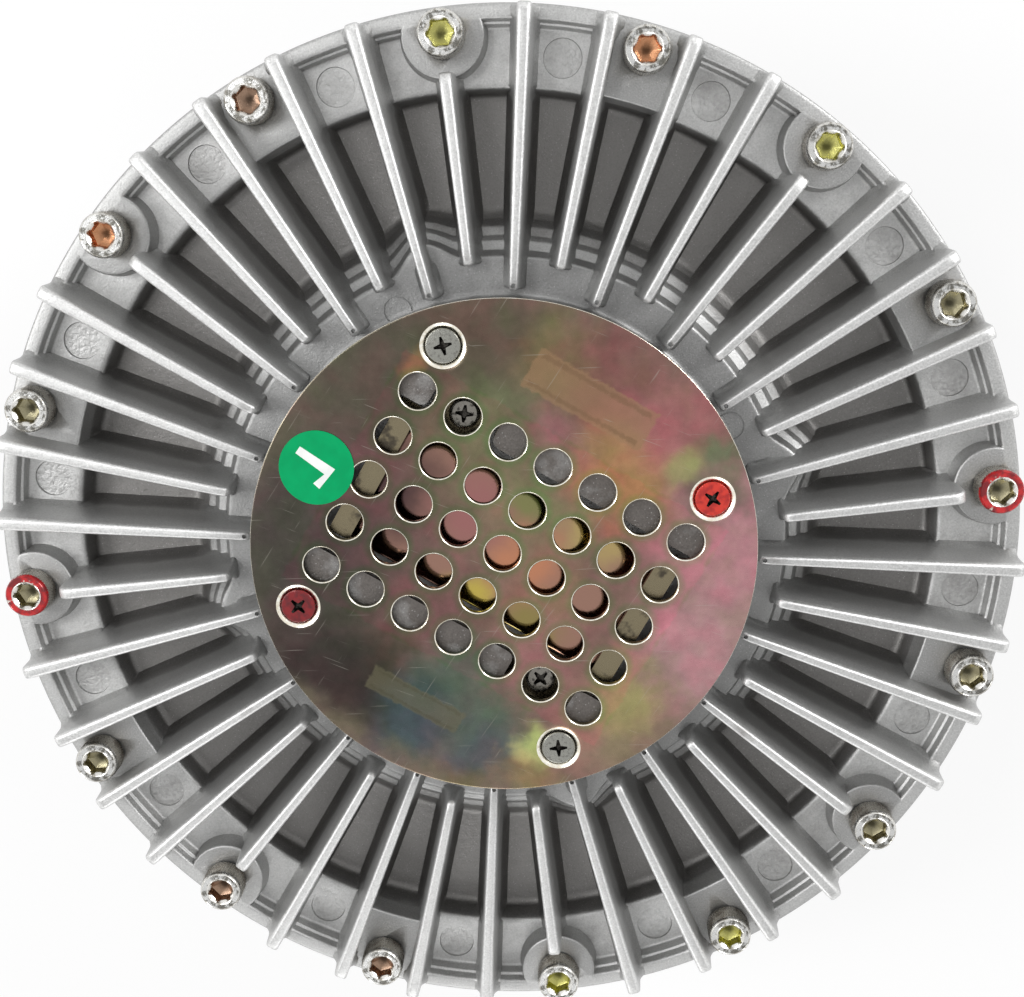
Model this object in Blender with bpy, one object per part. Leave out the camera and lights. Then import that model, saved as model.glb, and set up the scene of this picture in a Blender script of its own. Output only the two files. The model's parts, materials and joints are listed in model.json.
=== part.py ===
"""Viscous fan clutch with a bimetal valve, for Blender 4.5.

Metres, +Z up. The clutch axis is Z, the origin is the middle of the input flange's face,
and the finned front cover with its perforated plate looks up.
"""
from math import acos, asin, cos, pi, radians, sin, sqrt

import bmesh
import bpy
from mathutils import Matrix, Vector

# clearance between touching pieces, and how far a cut or a joined shape reaches past its neighbour
GAP = 0.0003
SINK = 0.0010

# facets
CASE_SIDES = 48
INNER_SIDES = 28
BEARING_SIDES = 24
HOLE_SIDES = 12
SMALL_SIDES = 10
TAPPED_SIDES = 8
BOSS_POINTS = 15
SMOOTH_BELOW = radians(35)
FLAT_WITHIN = radians(0.4)

# deep groove ball bearing
BEARING_OUTER_R = 0.031
BEARING_BORE_SHARE = 15 / 31
BEARING_W_SHARE = 1.0
BALL_SHARE = 0.28125
BALLS = 9
BALL_ROUNDS = 2
RACE_RISE_SHARE = 0.65
RACE_POINTS = 4
CAGE_T = 0.0016
CAGE_LIP_SHARE = 0.38
SHIELD_T = 0.0006
SHIELD_CLEAR = 0.0007
CLIP_T = 0.0016
CLIP_BITE = 0.0018
HUB_LIP = 0.0018

# input shaft and its flange
FLANGE_T = 0.010
FLANGE_HOLE_R = 0.0045
FLANGE_HOLE_CIRCLE_R = 0.034
FLANGE_MARGIN = 0.012
FLANGE_HOLES = 4
NECK_STEP = 0.0048
NECK_L = 0.0197
ROTOR_SEAT_STEP = 0.0025
SHAFT_TIP = 0.0012

# rotor
ROTOR_RIM_CLEAR = 0.0015
ROTOR_RIM_W = 0.008
ROTOR_WEB = 0.006
ROTOR_HUB_WALL = 0.0095
ROTOR_HUB_BELOW = 0.0125
ROTOR_HUB_ABOVE = 0.0015
RING_BITE = 0.0030
LAND_H = 0.0035
LAND_SPACE = 0.0023
LAND_INSET = 0.0052
LANDS = 2
RUN_CLEAR = 0.0006

# casing
SCREW_CIRCLE_R = 0.110
SCREWS = 16
RIM_MARGIN = 0.0059
CHAMBER_MARGIN = 0.0095
COVER_WALL = 0.004
BACK_WALL = 0.0048
BACK_STEP = 0.0076
JOINT_DROP = 0.0026
HOUSING_LIP = 0.004
HUB_WALL = 0.007
CASE_SEAL_WIRE_R = 0.0009
REAR_FINS = 24
REAR_FIN_H = 0.0096
REAR_FIN_T = 0.004
REAR_FIN_CREST = 0.6
REAR_FIN_START = 0.006
REAR_FIN_MARGIN = 0.0039
FAN_BOSSES = 8
FAN_CIRCLE_R = 0.080
FAN_BOSS_R = 0.0075
FAN_BOSS_H = 0.0115
FAN_HOLE_R = 0.0025
FAN_HOLE_DEPTH = 0.0125

# perforated plate, on a square grid that is turned from the cover's bosses
PLATE_T = 0.0015
PLATE_MARGIN = 0.0085
PLATE_LIP = 0.0013
PLATE_TURN = radians(-36.3)
HOLE_PITCH = 0.0111
HOLE_R = 0.00395
HOLES_LONG = 7
HOLES_WIDE = 5
PLATE_SCREWS = 4
PLATE_SCREW_CIRCLE_R = 0.0471
PLATE_SCREW_HEAD_R = 0.00375
PLATE_SCREW_HEAD_H = 0.0022
PLATE_SCREW_R = 0.0020
PLATE_SCREW_L = 0.0085
CROSS_W = 0.0011
CROSS_L = 0.0044
CROSS_FLOOR_L = 0.0029
CROSS_DEPTH = 0.0013
CROSS_TURN = radians(40)
STICKER_R = 0.0082
STICKER_T = 0.0002
STICKER_GAP = 0.0001
STICKER_AT_R = 0.0445
STICKER_ANGLE = radians(148.0)

# front cover, with heights above the channel floor
HUB_RISE = 0.0228
SHOULDER_W = 0.0092
SHOULDER_RISE = 0.0117
STAIRS = 2
STAIR_RUN = 0.0097
STAIR_BEND_RUN = 0.35
STAIR_BEND_DROP = 0.75
FLOOR_MARGIN = 0.0121
PLATEAU_RISE = 0.0064
GUTTER_W = 0.0012
RIM_W = 0.0033
RIM_EDGE = 0.0007
LOBE_R = 0.0055
LOBE_REACH = 0.0042
FINS = 40
FIN_RISE = 0.0204
FIN_MARGIN = 0.0005
FIN_PLATE_CLEAR = 0.0010
FIN_SHORT_BY = 0.0054
FIN_T_IN = 0.0018
FIN_T_OUT = 0.0029
FIN_DRAFT = 0.0025
FIN_CORNER = 0.0014
BOSS_R = 0.0083
BOSS_DRAFT = 0.0010
BOSS_FIN_LAP = 0.0005
PAD_STEP = 0.0009
PAD_RISE = 0.0114
RIM_STEP = 0.0001

# reservoir, separator plate and valve
CAVITY_WALL = 0.0043
CAVITY_ROOF = 0.0050
RESERVOIR_WALL = 0.0035
RESERVOIR_ROOF = 0.0038
SEPARATOR_STEP = 0.0027
SEPARATOR_T = 0.0012
LEDGE_RISE = 0.0049
PORT_R = 0.0035
PORT_AT = 0.024
LEAF_HINGE_AT = 0.030
LEAF_T = 0.0008
LEAF_W = 0.010
LEAF_TAIL_W = 0.006
LEAF_OVER_PORT = 0.006
LEAF_TAIL = 0.0040
RIVET_R = 0.0015
RIVET_HEAD_R = 0.0030
RIVET_HEAD_H = 0.0010
DOME = 0.75
PIN_R = 0.0020
PIN_BOSS_WALL = 0.0030
PIN_BOSS_DROP = 0.0055
SEAL_WIRE_R = 0.00095
SEAL_WIRE_SIDES = 5

# bimetal strip in its pocket
STRIP_L = 0.068
STRIP_W = 0.030
STRIP_T = 0.0012
POCKET_END = 0.0055
POCKET_SIDE = 0.0045
POCKET_DEPTH = 0.0059
BAY_L = 0.016
BAY_END = 0.0058
BRACKET_T = 0.0015
BRACKET_LIP = 0.0032
BRACKET_SCREW_AT = 0.0222
BRACKET_SCREW_HEAD_R = 0.0035
BRACKET_SCREW_HEAD_H = 0.0016
BRACKET_SCREW_R = 0.0015
BRACKET_SCREW_L = 0.0050
BRACKET_CROSS_DEPTH = 0.0009

# M6 socket head cap screws
CAP_R = 0.005
CAP_H = 0.006
CAP_SHANK_R = 0.003
CAP_L = 0.030
HEX_FLATS = 0.005
HEX_DEPTH = 0.003
HEX_SIDES = 6
CAP_CLEAR = 0.0004

# radii that follow
BEARING_BORE_R = BEARING_OUTER_R * BEARING_BORE_SHARE
BEARING_SECTION = BEARING_OUTER_R - BEARING_BORE_R
BEARING_W = BEARING_SECTION * BEARING_W_SHARE
BALL_R = BEARING_SECTION * BALL_SHARE
CAGE_H = 2 * BALL_R * (1 + CAGE_LIP_SHARE)
BALL_PITCH_R = (BEARING_BORE_R + BEARING_OUTER_R) / 2
SEAT_R = BEARING_BORE_R - GAP
NECK_R = SEAT_R + NECK_STEP
ROTOR_SEAT_R = SEAT_R - ROTOR_SEAT_STEP
ROTOR_HUB_R = ROTOR_SEAT_R + GAP + ROTOR_HUB_WALL
FLANGE_R = FLANGE_HOLE_CIRCLE_R + FLANGE_MARGIN
RIM_R = SCREW_CIRCLE_R + RIM_MARGIN
CHAMBER_R = SCREW_CIRCLE_R - CHAMBER_MARGIN
ROTOR_R = CHAMBER_R - ROTOR_RIM_CLEAR
CAP_HOLE_R = CAP_SHANK_R + CAP_CLEAR
CASE_SEAL_R = (CHAMBER_R + SCREW_CIRCLE_R - CAP_HOLE_R) / 2
BORE_R = BEARING_OUTER_R - HOUSING_LIP
HUB_OUT_R = BEARING_OUTER_R + HUB_WALL
PLATE_R = PLATE_SCREW_CIRCLE_R + PLATE_MARGIN
HUB_R = PLATE_R - PLATE_LIP
SHOULDER_R = HUB_R + SHOULDER_W
FLOOR_IN_R = SHOULDER_R + STAIR_RUN
FLOOR_OUT_R = SCREW_CIRCLE_R - FLOOR_MARGIN
PAD_IN_R = FLOOR_OUT_R + PAD_STEP
RIM_IN_R = RIM_R - RIM_W
PLATEAU_R = RIM_IN_R - GUTTER_W
LOBE_OUT_R = SHOULDER_R + LOBE_REACH
FIN_OUT_R = RIM_R - FIN_MARGIN
FIN_LONG_R = PLATE_R + FIN_PLATE_CLEAR
FIN_SHORT_R = FIN_LONG_R + FIN_SHORT_BY
BOSS_FIN_R = SCREW_CIRCLE_R - BOSS_R + BOSS_FIN_LAP
CAVITY_R = HUB_R - CAVITY_WALL
RESERVOIR_R = SHOULDER_R - RESERVOIR_WALL
SEPARATOR_R = SHOULDER_R + SEPARATOR_STEP
LAND_FIRST_R = SEPARATOR_R + LAND_INSET
LAND_PITCH = (ROTOR_R - ROTOR_RIM_W - LAND_FIRST_R) / LANDS
LAND_W = LAND_PITCH / 2 - LAND_SPACE
PIN_BOSS_R = PIN_R + PIN_BOSS_WALL
BRACKET_SCREW_R_AT = BRACKET_SCREW_AT * sqrt(2)
BAY_REACH = BRACKET_SCREW_AT + BAY_END
POCKET_HALF_L = STRIP_L / 2 + BRACKET_T + POCKET_END
POCKET_HALF_W = STRIP_W / 2 + POCKET_SIDE

# heights that follow
BEARING_LOW = FLANGE_T + NECK_L + GAP
BEARING_TOP = BEARING_LOW + BEARING_W
BEARING_MID = (BEARING_LOW + BEARING_TOP) / 2
BEARING_CLIP_Z = BEARING_LOW - GAP - CLIP_T
HUB_LOW = BEARING_CLIP_Z - GAP - HUB_LIP
BACK_Z = BEARING_TOP + BACK_STEP
CHAMBER_LOW = BACK_Z + BACK_WALL
ROTOR_LOW = CHAMBER_LOW + RUN_CLEAR
WEB_LOW = ROTOR_LOW + LAND_H
WEB_TOP = WEB_LOW + ROTOR_WEB
ROTOR_TOP = WEB_TOP + LAND_H
CHAMBER_TOP = ROTOR_TOP + RUN_CLEAR
JOINT_Z = CHAMBER_TOP - JOINT_DROP
FLOOR_Z = CHAMBER_TOP + COVER_WALL
SHOULDER_Z = FLOOR_Z + SHOULDER_RISE
PLATEAU_Z = FLOOR_Z + PLATEAU_RISE
SEAT_Z = FLOOR_Z + PAD_RISE
RIM_Z = SEAT_Z - RIM_STEP
HUB_Z = FLOOR_Z + HUB_RISE
PLATE_Z = HUB_Z + GAP
PLATE_TOP = PLATE_Z + PLATE_T
LEDGE_Z = CHAMBER_TOP + LEDGE_RISE
SEPARATOR_TOP = LEDGE_Z - GAP
RESERVOIR_Z = SHOULDER_Z - RESERVOIR_ROOF
POCKET_Z = HUB_Z - POCKET_DEPTH
CAVITY_Z = POCKET_Z - CAVITY_ROOF
PIN_BOSS_LOW = CAVITY_Z - PIN_BOSS_DROP
BRACKET_Z = POCKET_Z + GAP
BRACKET_TOP = BRACKET_Z + BRACKET_T
STRIP_Z = BRACKET_TOP + GAP
LEAF_Z = SEPARATOR_TOP + GAP
ROTOR_HUB_LOW = WEB_LOW - ROTOR_HUB_BELOW
ROTOR_HUB_TOP = WEB_TOP + ROTOR_HUB_ABOVE
ROTOR_RING_Z = ROTOR_HUB_TOP + GAP

COLOURS = {
    "cast": ((0.62, 0.62, 0.61), 0.9, 0.55),
    "steel": ((0.60, 0.60, 0.59), 1.0, 0.32),
    "zinc": ((0.62, 0.60, 0.52), 1.0, 0.35),
    "passivated": ((0.48, 0.42, 0.27), 1.0, 0.35),
    "brass": ((0.72, 0.58, 0.38), 1.0, 0.30),
    "red": ((0.60, 0.02, 0.03), 0.1, 0.40),
    "green": ((0.01, 0.42, 0.20), 0.0, 0.45),
    "rubber": ((0.03, 0.03, 0.03), 0.0, 0.70),
}


def finish(obj, colour):
    """Give an object its own Principled material and smooth its round sides."""
    base, metallic, roughness = COLOURS[colour]
    material = bpy.data.materials.new(obj.name)
    material.use_nodes = True
    shader = material.node_tree.nodes["Principled BSDF"]
    shader.inputs["Base Color"].default_value = (*base, 1.0)
    shader.inputs["Metallic"].default_value = metallic
    shader.inputs["Roughness"].default_value = roughness
    obj.data.materials.clear()
    obj.data.materials.append(material)
    return obj


def to_object(name, mesh_builder):
    """Turn a bmesh into a linked object with outward faces."""
    bmesh.ops.recalc_face_normals(mesh_builder, faces=mesh_builder.faces)
    mesh = bpy.data.meshes.new(name)
    mesh_builder.to_mesh(mesh)
    mesh_builder.free()
    mesh.shade_smooth()
    mesh.set_sharp_from_angle(angle=SMOOTH_BELOW)
    obj = bpy.data.objects.new(name, mesh)
    bpy.context.scene.collection.objects.link(obj)
    return obj


def polar(radius, angle, z=0.0):
    return Vector((radius * cos(angle), radius * sin(angle), z))


def add_turned(builder, profile, sides, centre=(0.0, 0.0), phase=0.0):
    """Add an (r, z) profile turned about a vertical axis: a ring, or a solid if its ends lie on the axis."""
    rings = []
    for radius, z in profile:
        if radius == 0.0:
            continue
        ring = []
        for i in range(sides):
            angle = phase + 2 * pi * i / sides
            x = centre[0] + radius * cos(angle)
            ring.append(builder.verts.new((x, centre[1] + radius * sin(angle), z)))
        rings.append(ring)
    solid = len(rings) < len(profile)
    for i, ring in enumerate(rings):
        after = rings[(i + 1) % len(rings)]
        if solid and i + 1 == len(rings):
            builder.faces.new(rings[0])
            builder.faces.new(ring[::-1])
            continue
        for j in range(sides):
            k = (j + 1) % sides
            builder.faces.new([ring[j], ring[k], after[k], after[j]])


def turned(name, profile, sides, place=(0.0, 0.0, 0.0), angle=0.0):
    """Make an object from a turned profile, its origin on its own axis."""
    builder = bmesh.new()
    add_turned(builder, profile, sides)
    return put(to_object(name, builder), place, angle)


def put(obj, place, angle=0.0):
    """Place an object, turned about its own vertical axis."""
    obj.location = place
    obj.rotation_euler.z = angle
    return obj


def add_prism(builder, low, top):
    """Add a solid between two outlines with as many points, given as 3-D points."""
    low_verts = [builder.verts.new(p) for p in low]
    top_verts = [builder.verts.new(p) for p in top]
    builder.faces.new(low_verts[::-1])
    builder.faces.new(top_verts)
    for i in range(len(low_verts)):
        k = (i + 1) % len(low_verts)
        builder.faces.new([low_verts[i], low_verts[k], top_verts[k], top_verts[i]])


def rod_profile(radius, z0, z1):
    return [(0.0, z0), (radius, z0), (radius, z1), (0.0, z1)]


def ring_profile(inner, outer, z0, z1):
    return [(inner, z0), (outer, z0), (outer, z1), (inner, z1)]


def as_tool(obj):
    obj.hide_render = True
    obj.display_type = "WIRE"
    return obj


def combine(obj, tool, operation):
    modifier = obj.modifiers.new(tool.name, "BOOLEAN")
    modifier.operation = operation
    modifier.object = as_tool(tool)
    modifier.solver = "EXACT"
    return obj


def join_flats(obj):
    """Let each flat area be one face again after the cuts."""
    modifier = obj.modifiers.new("flats", "DECIMATE")
    modifier.decimate_type = "DISSOLVE"
    modifier.angle_limit = FLAT_WITHIN
    return obj


def stair_points(low_r, high_r, top_z, low_z):
    """Points of a flight of rounded steps that leads down and outwards."""
    points = []
    run = (high_r - low_r) / STAIRS
    drop = (top_z - low_z) / STAIRS
    for i in range(STAIRS):
        points.append((low_r + run * i, top_z - drop * i))
        points.append((low_r + run * (i + STAIR_BEND_RUN), top_z - drop * (i + STAIR_BEND_DROP)))
    points.append((high_r, low_z))
    return points


def land_points(first, base_z, tip_z):
    """Points of concentric ring lands, from the inner one outwards."""
    points = []
    for i in range(LANDS):
        inner = first + LAND_PITCH * i
        outer = inner + LAND_W
        points += [(inner, base_z), (inner, tip_z), (outer, tip_z), (outer, base_z)]
    return points


def fin_half(radius):
    """Half the thickness of a fin's crest at a radius."""
    share = (radius - FIN_LONG_R) / (FIN_OUT_R - FIN_LONG_R)
    return (FIN_T_IN + (FIN_T_OUT - FIN_T_IN) * share) / 2


def add_fin(builder, angle, inner, outer, corner):
    """Add a radial fin with drafted sides, its outer top corner cut off where it has one."""
    low_z = FLOOR_Z - SINK
    crest = FLOOR_Z + FIN_RISE
    along = polar(1.0, angle)
    across = polar(1.0, angle + pi / 2)
    stations = [(inner, crest), (outer - corner, crest), (outer, crest - corner)]
    if corner == 0.0:
        stations = stations[:2]
    sections = []
    for radius, top in stations:
        slim = fin_half(radius)
        drop = (crest - top) / (FIN_RISE + SINK)
        wide = slim + FIN_DRAFT / 2
        half_top = slim + (wide - slim) * drop
        middle = along * radius
        section = []
        for half, z in ((-wide, low_z), (wide, low_z), (half_top, top), (-half_top, top)):
            point = middle + across * half
            section.append(builder.verts.new((point.x, point.y, z)))
        sections.append(section)
    builder.faces.new(sections[0][::-1])
    builder.faces.new(sections[-1])
    for first, second in zip(sections, sections[1:]):
        for i in range(4):
            k = (i + 1) % 4
            builder.faces.new([first[i], first[k], second[k], second[i]])


def boss_outline(radius, limit):
    """A circle round a screw at +X, cut off by the rim's own circle."""
    near = (SCREW_CIRCLE_R ** 2 + limit ** 2 - radius ** 2) / (2 * SCREW_CIRCLE_R * limit)
    meet = acos(near)
    rise = asin(limit * sin(meet) / radius)
    start = rise if limit * cos(meet) > SCREW_CIRCLE_R else pi - rise
    points = [(limit, 0.0)]
    for i in range(BOSS_POINTS):
        angle = start + (2 * pi - 2 * start) * i / (BOSS_POINTS - 1)
        points.append((SCREW_CIRCLE_R + radius * cos(angle), radius * sin(angle)))
    return points


def turn(point, angle, z):
    x, y = point
    return Vector((x * cos(angle) - y * sin(angle), x * sin(angle) + y * cos(angle), z))


def cover_outside():
    """The cover's turned outside, as a thick blank down to the joint face."""
    profile = [(0.0, JOINT_Z + GAP), (RIM_R, JOINT_Z + GAP)]
    profile += [(RIM_R, RIM_Z - RIM_EDGE), (RIM_R - RIM_EDGE, RIM_Z)]
    profile += [(RIM_IN_R, RIM_Z), (PLATEAU_R, PLATEAU_Z)]
    profile += [(FLOOR_OUT_R + RIM_EDGE, PLATEAU_Z), (FLOOR_OUT_R, FLOOR_Z)]
    profile += stair_points(SHOULDER_R, FLOOR_IN_R, SHOULDER_Z, FLOOR_Z)[::-1]
    profile += [(HUB_R + RIM_EDGE, SHOULDER_Z), (HUB_R, HUB_Z), (0.0, HUB_Z)]
    return turned("front_cover", profile, CASE_SIDES)


def cover_fins():
    builder = bmesh.new()
    per_boss = FINS // (SCREWS // 2)
    for i in range(FINS):
        inner = FIN_LONG_R if i % 2 else FIN_SHORT_R
        on_boss = i % per_boss == 0
        outer = BOSS_FIN_R if on_boss else FIN_OUT_R
        add_fin(builder, pi / 2 + 2 * pi * i / FINS, inner, outer, 0.0 if on_boss else FIN_CORNER)
    return to_object("fins_tool", builder)


def cover_seats():
    """Round bosses under every second rim screw and a flat pad under each of the others."""
    builder = bmesh.new()
    low_z = FLOOR_Z - SINK
    low_share = (SEAT_Z - low_z) / (SEAT_Z - PLATEAU_Z)
    limit = RIM_R - GAP * 2
    crest = boss_outline(BOSS_R, limit)
    foot = boss_outline(BOSS_R + BOSS_DRAFT * low_share, limit)
    for i in range(SCREWS):
        angle = pi / 2 + 2 * pi * i / SCREWS
        if i % 2 == 0:
            add_prism(builder, [turn(p, angle, low_z) for p in foot], [turn(p, angle, SEAT_Z) for p in crest])
            continue
        half = pi / FINS
        sector = [(PAD_IN_R, -half), (limit, -half), (limit, 0.0), (limit, half), (PAD_IN_R, half)]
        low = [polar(r, angle + a, low_z) for r, a in sector]
        add_prism(builder, low, [polar(r, angle + a, SEAT_Z) for r, a in sector])
    return to_object("seats_tool", builder)


def cover_lobes():
    """Round lobes that the shoulder carries beside each plate screw."""
    builder = bmesh.new()
    middle = LOBE_OUT_R - LOBE_R
    for i in range(PLATE_SCREWS):
        place = polar(middle, plate_screw_angle(i))
        low = FLOOR_Z - SINK
        top = SHOULDER_Z - RIM_STEP
        profile = [(0.0, low), (LOBE_R + BOSS_DRAFT * 2, low), (LOBE_R, top), (0.0, top)]
        add_turned(builder, profile, HOLE_SIDES, (place.x, place.y))
    return to_object("lobes_tool", builder)


def plate_screw_angle(number):
    """Where plate screw number 0, 1, 2... sits, clockwise from the one nearest +Y."""
    return PLATE_TURN + 3 * pi / 4 - number * 2 * pi / PLATE_SCREWS


def cover_inside():
    """What the cover is hollow for: working chamber with its lands, ledge, reservoir and pin boss."""
    below = JOINT_Z - SINK
    profile = [(0.0, below), (CHAMBER_R, below), (CHAMBER_R, CHAMBER_TOP)]
    first = LAND_FIRST_R + LAND_PITCH / 2
    profile += land_points(first, CHAMBER_TOP, CHAMBER_TOP - LAND_H)[::-1]
    profile += [(SEPARATOR_R + GAP, CHAMBER_TOP), (SEPARATOR_R + GAP, LEDGE_Z), (RESERVOIR_R, LEDGE_Z)]
    profile += [(RESERVOIR_R, RESERVOIR_Z), (CAVITY_R, RESERVOIR_Z), (CAVITY_R, CAVITY_Z)]
    profile += [(PIN_BOSS_R, CAVITY_Z), (PIN_BOSS_R, PIN_BOSS_LOW), (0.0, PIN_BOSS_LOW)]
    return turned("inside_tool", profile, INNER_SIDES)


def cover_drillings():
    """All holes from the front: rim screws, plate screws, bracket screws, and the pin's bore."""
    builder = bmesh.new()
    above = PLATE_TOP
    for i in range(SCREWS):
        place = polar(SCREW_CIRCLE_R, pi / 2 + 2 * pi * i / SCREWS)
        hole = rod_profile(CAP_HOLE_R, JOINT_Z - SINK, above)
        add_turned(builder, hole, TAPPED_SIDES, (place.x, place.y))
    hole = rod_profile(PLATE_SCREW_R + 2 * GAP, PLATE_TOP - PLATE_SCREW_L - 2 * GAP, above)
    for i in range(PLATE_SCREWS):
        place = polar(PLATE_SCREW_CIRCLE_R, plate_screw_angle(i))
        add_turned(builder, hole, SMALL_SIDES, (place.x, place.y))
    hole = rod_profile(BRACKET_SCREW_R + GAP, BRACKET_TOP - BRACKET_SCREW_L, above)
    for side in (0, 1):
        place = polar(BRACKET_SCREW_R_AT, PLATE_TURN + pi * 0.75 + side * pi)
        add_turned(builder, hole, SMALL_SIDES, (place.x, place.y))
    seal_low = POCKET_Z - 2 * SEAL_WIRE_R - 2 * GAP
    seal_room = PIN_R + 3 * GAP + 2 * SEAL_WIRE_R
    profile = [(0.0, PIN_BOSS_LOW - SINK), (PIN_R + GAP, PIN_BOSS_LOW - SINK), (PIN_R + GAP, seal_low)]
    profile += [(seal_room, seal_low), (seal_room, above), (0.0, above)]
    add_turned(builder, profile, SMALL_SIDES)
    return to_object("drillings_tool", builder)


def cover_pocket():
    """The strip's pocket with a bay beside each end for its bracket's foot."""
    bay_in = BRACKET_SCREW_AT - BAY_L / 2
    bay_out = BRACKET_SCREW_AT + BAY_L / 2
    side = [(-POCKET_HALF_L, POCKET_HALF_W), (-bay_out, POCKET_HALF_W), (-bay_out, BAY_REACH)]
    side += [(-bay_in, BAY_REACH), (-bay_in, POCKET_HALF_W), (POCKET_HALF_L, POCKET_HALF_W)]
    outline = side + [(-x, -y) for x, y in side]
    outline = outline[::-1]
    builder = bmesh.new()
    low = [turn(p, PLATE_TURN, POCKET_Z) for p in outline]
    add_prism(builder, low, [turn(p, PLATE_TURN, PLATE_TOP) for p in outline])
    return to_object("pocket_tool", builder)


def front_cover():
    cover = cover_outside()
    combine(cover, cover_lobes(), "UNION")
    combine(cover, cover_seats(), "UNION")
    combine(cover, cover_fins(), "UNION")
    combine(cover, cover_inside(), "DIFFERENCE")
    combine(cover, cover_pocket(), "DIFFERENCE")
    combine(cover, cover_drillings(), "DIFFERENCE")
    return finish(join_flats(cover), "cast")


def rear_housing():
    """The rear casing half: chamber, bearing hub, rear fins, and tapped bosses for the fan."""
    top = JOINT_Z
    groove_in = CASE_SEAL_R - CASE_SEAL_WIRE_R - GAP
    groove_out = CASE_SEAL_R + CASE_SEAL_WIRE_R + GAP
    groove_low = top - 2 * CASE_SEAL_WIRE_R
    bore = BEARING_OUTER_R + GAP
    clip_low = BEARING_CLIP_Z - GAP / 2
    clip_top = BEARING_CLIP_Z + CLIP_T + GAP / 2
    shoulder = BEARING_TOP + GAP
    outside = [(BORE_R, HUB_LOW), (HUB_OUT_R, HUB_LOW), (HUB_OUT_R, BACK_Z)]
    outside += [(RIM_R - RIM_EDGE, BACK_Z), (RIM_R, BACK_Z + RIM_EDGE), (RIM_R, top)]
    outside += [(groove_out, top), (groove_out, groove_low), (groove_in, groove_low), (groove_in, top)]
    outside += [(BORE_R, top)]
    housing = turned("rear_housing", outside, CASE_SIDES)

    builder = bmesh.new()
    half = REAR_FIN_T / 2
    fin_in = HUB_OUT_R + REAR_FIN_START
    fin_out = RIM_R - REAR_FIN_MARGIN
    rect = [(fin_in, -half), (fin_out, -half), (fin_out, half), (fin_in, half)]
    crest = [(x, y * REAR_FIN_CREST) for x, y in rect]
    for i in range(REAR_FINS):
        angle = pi / 2 + 2 * pi * i / REAR_FINS
        low = [turn(p, angle, BACK_Z - REAR_FIN_H) for p in crest]
        add_prism(builder, low, [turn(p, angle, BACK_Z + SINK) for p in rect])
    combine(housing, to_object("rear_fins_tool", builder), "UNION")

    builder = bmesh.new()
    for i in range(FAN_BOSSES):
        place = polar(FAN_CIRCLE_R, pi / 2 + 2 * pi * i / FAN_BOSSES)
        profile = [(0.0, BACK_Z - FAN_BOSS_H), (FAN_BOSS_R, BACK_Z - FAN_BOSS_H)]
        profile += [(FAN_BOSS_R + SINK, BACK_Z + SINK), (0.0, BACK_Z + SINK)]
        add_turned(builder, profile, HOLE_SIDES, (place.x, place.y))
    combine(housing, to_object("fan_bosses_tool", builder), "UNION")

    inside = [(0.0, BEARING_TOP), (BORE_R + GAP, BEARING_TOP), (BORE_R + GAP, CHAMBER_LOW)]
    first = LAND_FIRST_R + LAND_PITCH / 2
    inside += land_points(first, CHAMBER_LOW, CHAMBER_LOW + LAND_H)
    inside += [(CHAMBER_R, CHAMBER_LOW), (CHAMBER_R, top + SINK), (0.0, top + SINK)]
    combine(housing, turned("chamber_tool", inside, INNER_SIDES), "DIFFERENCE")

    seat = [(0.0, HUB_LOW - SINK), (bore, HUB_LOW - SINK), (bore, clip_low), (bore + CLIP_BITE, clip_low)]
    seat += [(bore + CLIP_BITE, clip_top), (bore, clip_top), (bore, shoulder), (0.0, shoulder)]
    combine(housing, turned("bearing_seat_tool", seat, INNER_SIDES), "DIFFERENCE")

    builder = bmesh.new()
    screw_tip = SEAT_Z + GAP - CAP_L
    for i in range(SCREWS):
        place = polar(SCREW_CIRCLE_R, pi / 2 + 2 * pi * i / SCREWS)
        hole = rod_profile(CAP_SHANK_R + GAP, screw_tip - 2 * GAP, top + SINK)
        add_turned(builder, hole, TAPPED_SIDES, (place.x, place.y))
    for i in range(FAN_BOSSES):
        place = polar(FAN_CIRCLE_R, pi / 2 + 2 * pi * i / FAN_BOSSES)
        low = BACK_Z - FAN_BOSS_H - SINK
        hole = rod_profile(FAN_HOLE_R, low, low + SINK + FAN_HOLE_DEPTH)
        add_turned(builder, hole, TAPPED_SIDES, (place.x, place.y))
    combine(housing, to_object("rear_drillings_tool", builder), "DIFFERENCE")
    return finish(join_flats(housing), "cast")


def cap_screws():
    """Sixteen equal socket head cap screws round the rim, each with its origin under its head."""
    profile = [(0.0, -CAP_L), (CAP_SHANK_R, -CAP_L), (CAP_SHANK_R, 0.0)]
    profile += [(CAP_R, 0.0), (CAP_R, CAP_H), (0.0, CAP_H)]
    recess = rod_profile(HEX_FLATS / sqrt(3), CAP_H - HEX_DEPTH, CAP_H + SINK)
    for i in range(SCREWS):
        angle = pi / 2 - 2 * pi * i / SCREWS
        place = polar(SCREW_CIRCLE_R, angle, SEAT_Z + GAP)
        screw = turned(f"cover_screw_{i + 1:02d}", profile, SMALL_SIDES, place, angle)
        combine(screw, turned(f"hex_tool_{i + 1:02d}", recess, HEX_SIDES, place, angle), "DIFFERENCE")
        finish(screw, "red" if i in (SCREWS // 4, 3 * SCREWS // 4) else "zinc")


def cross_tool(name, place, angle, depth):
    """A cutter for a cross recess whose four arms get shorter with depth, seen from its place up."""
    half_w = CROSS_W / 2
    outline = []
    floor = []
    for i in range(4):
        for point in ((CROSS_L / 2, -half_w), (CROSS_L / 2, half_w), (half_w, half_w)):
            outline.append(turn(point, i * pi / 2, SINK))
            floor.append(turn((min(point[0], CROSS_FLOOR_L / 2), point[1]), i * pi / 2, -depth))
    builder = bmesh.new()
    add_prism(builder, floor, outline)
    return put(to_object(name, builder), place, angle)


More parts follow.
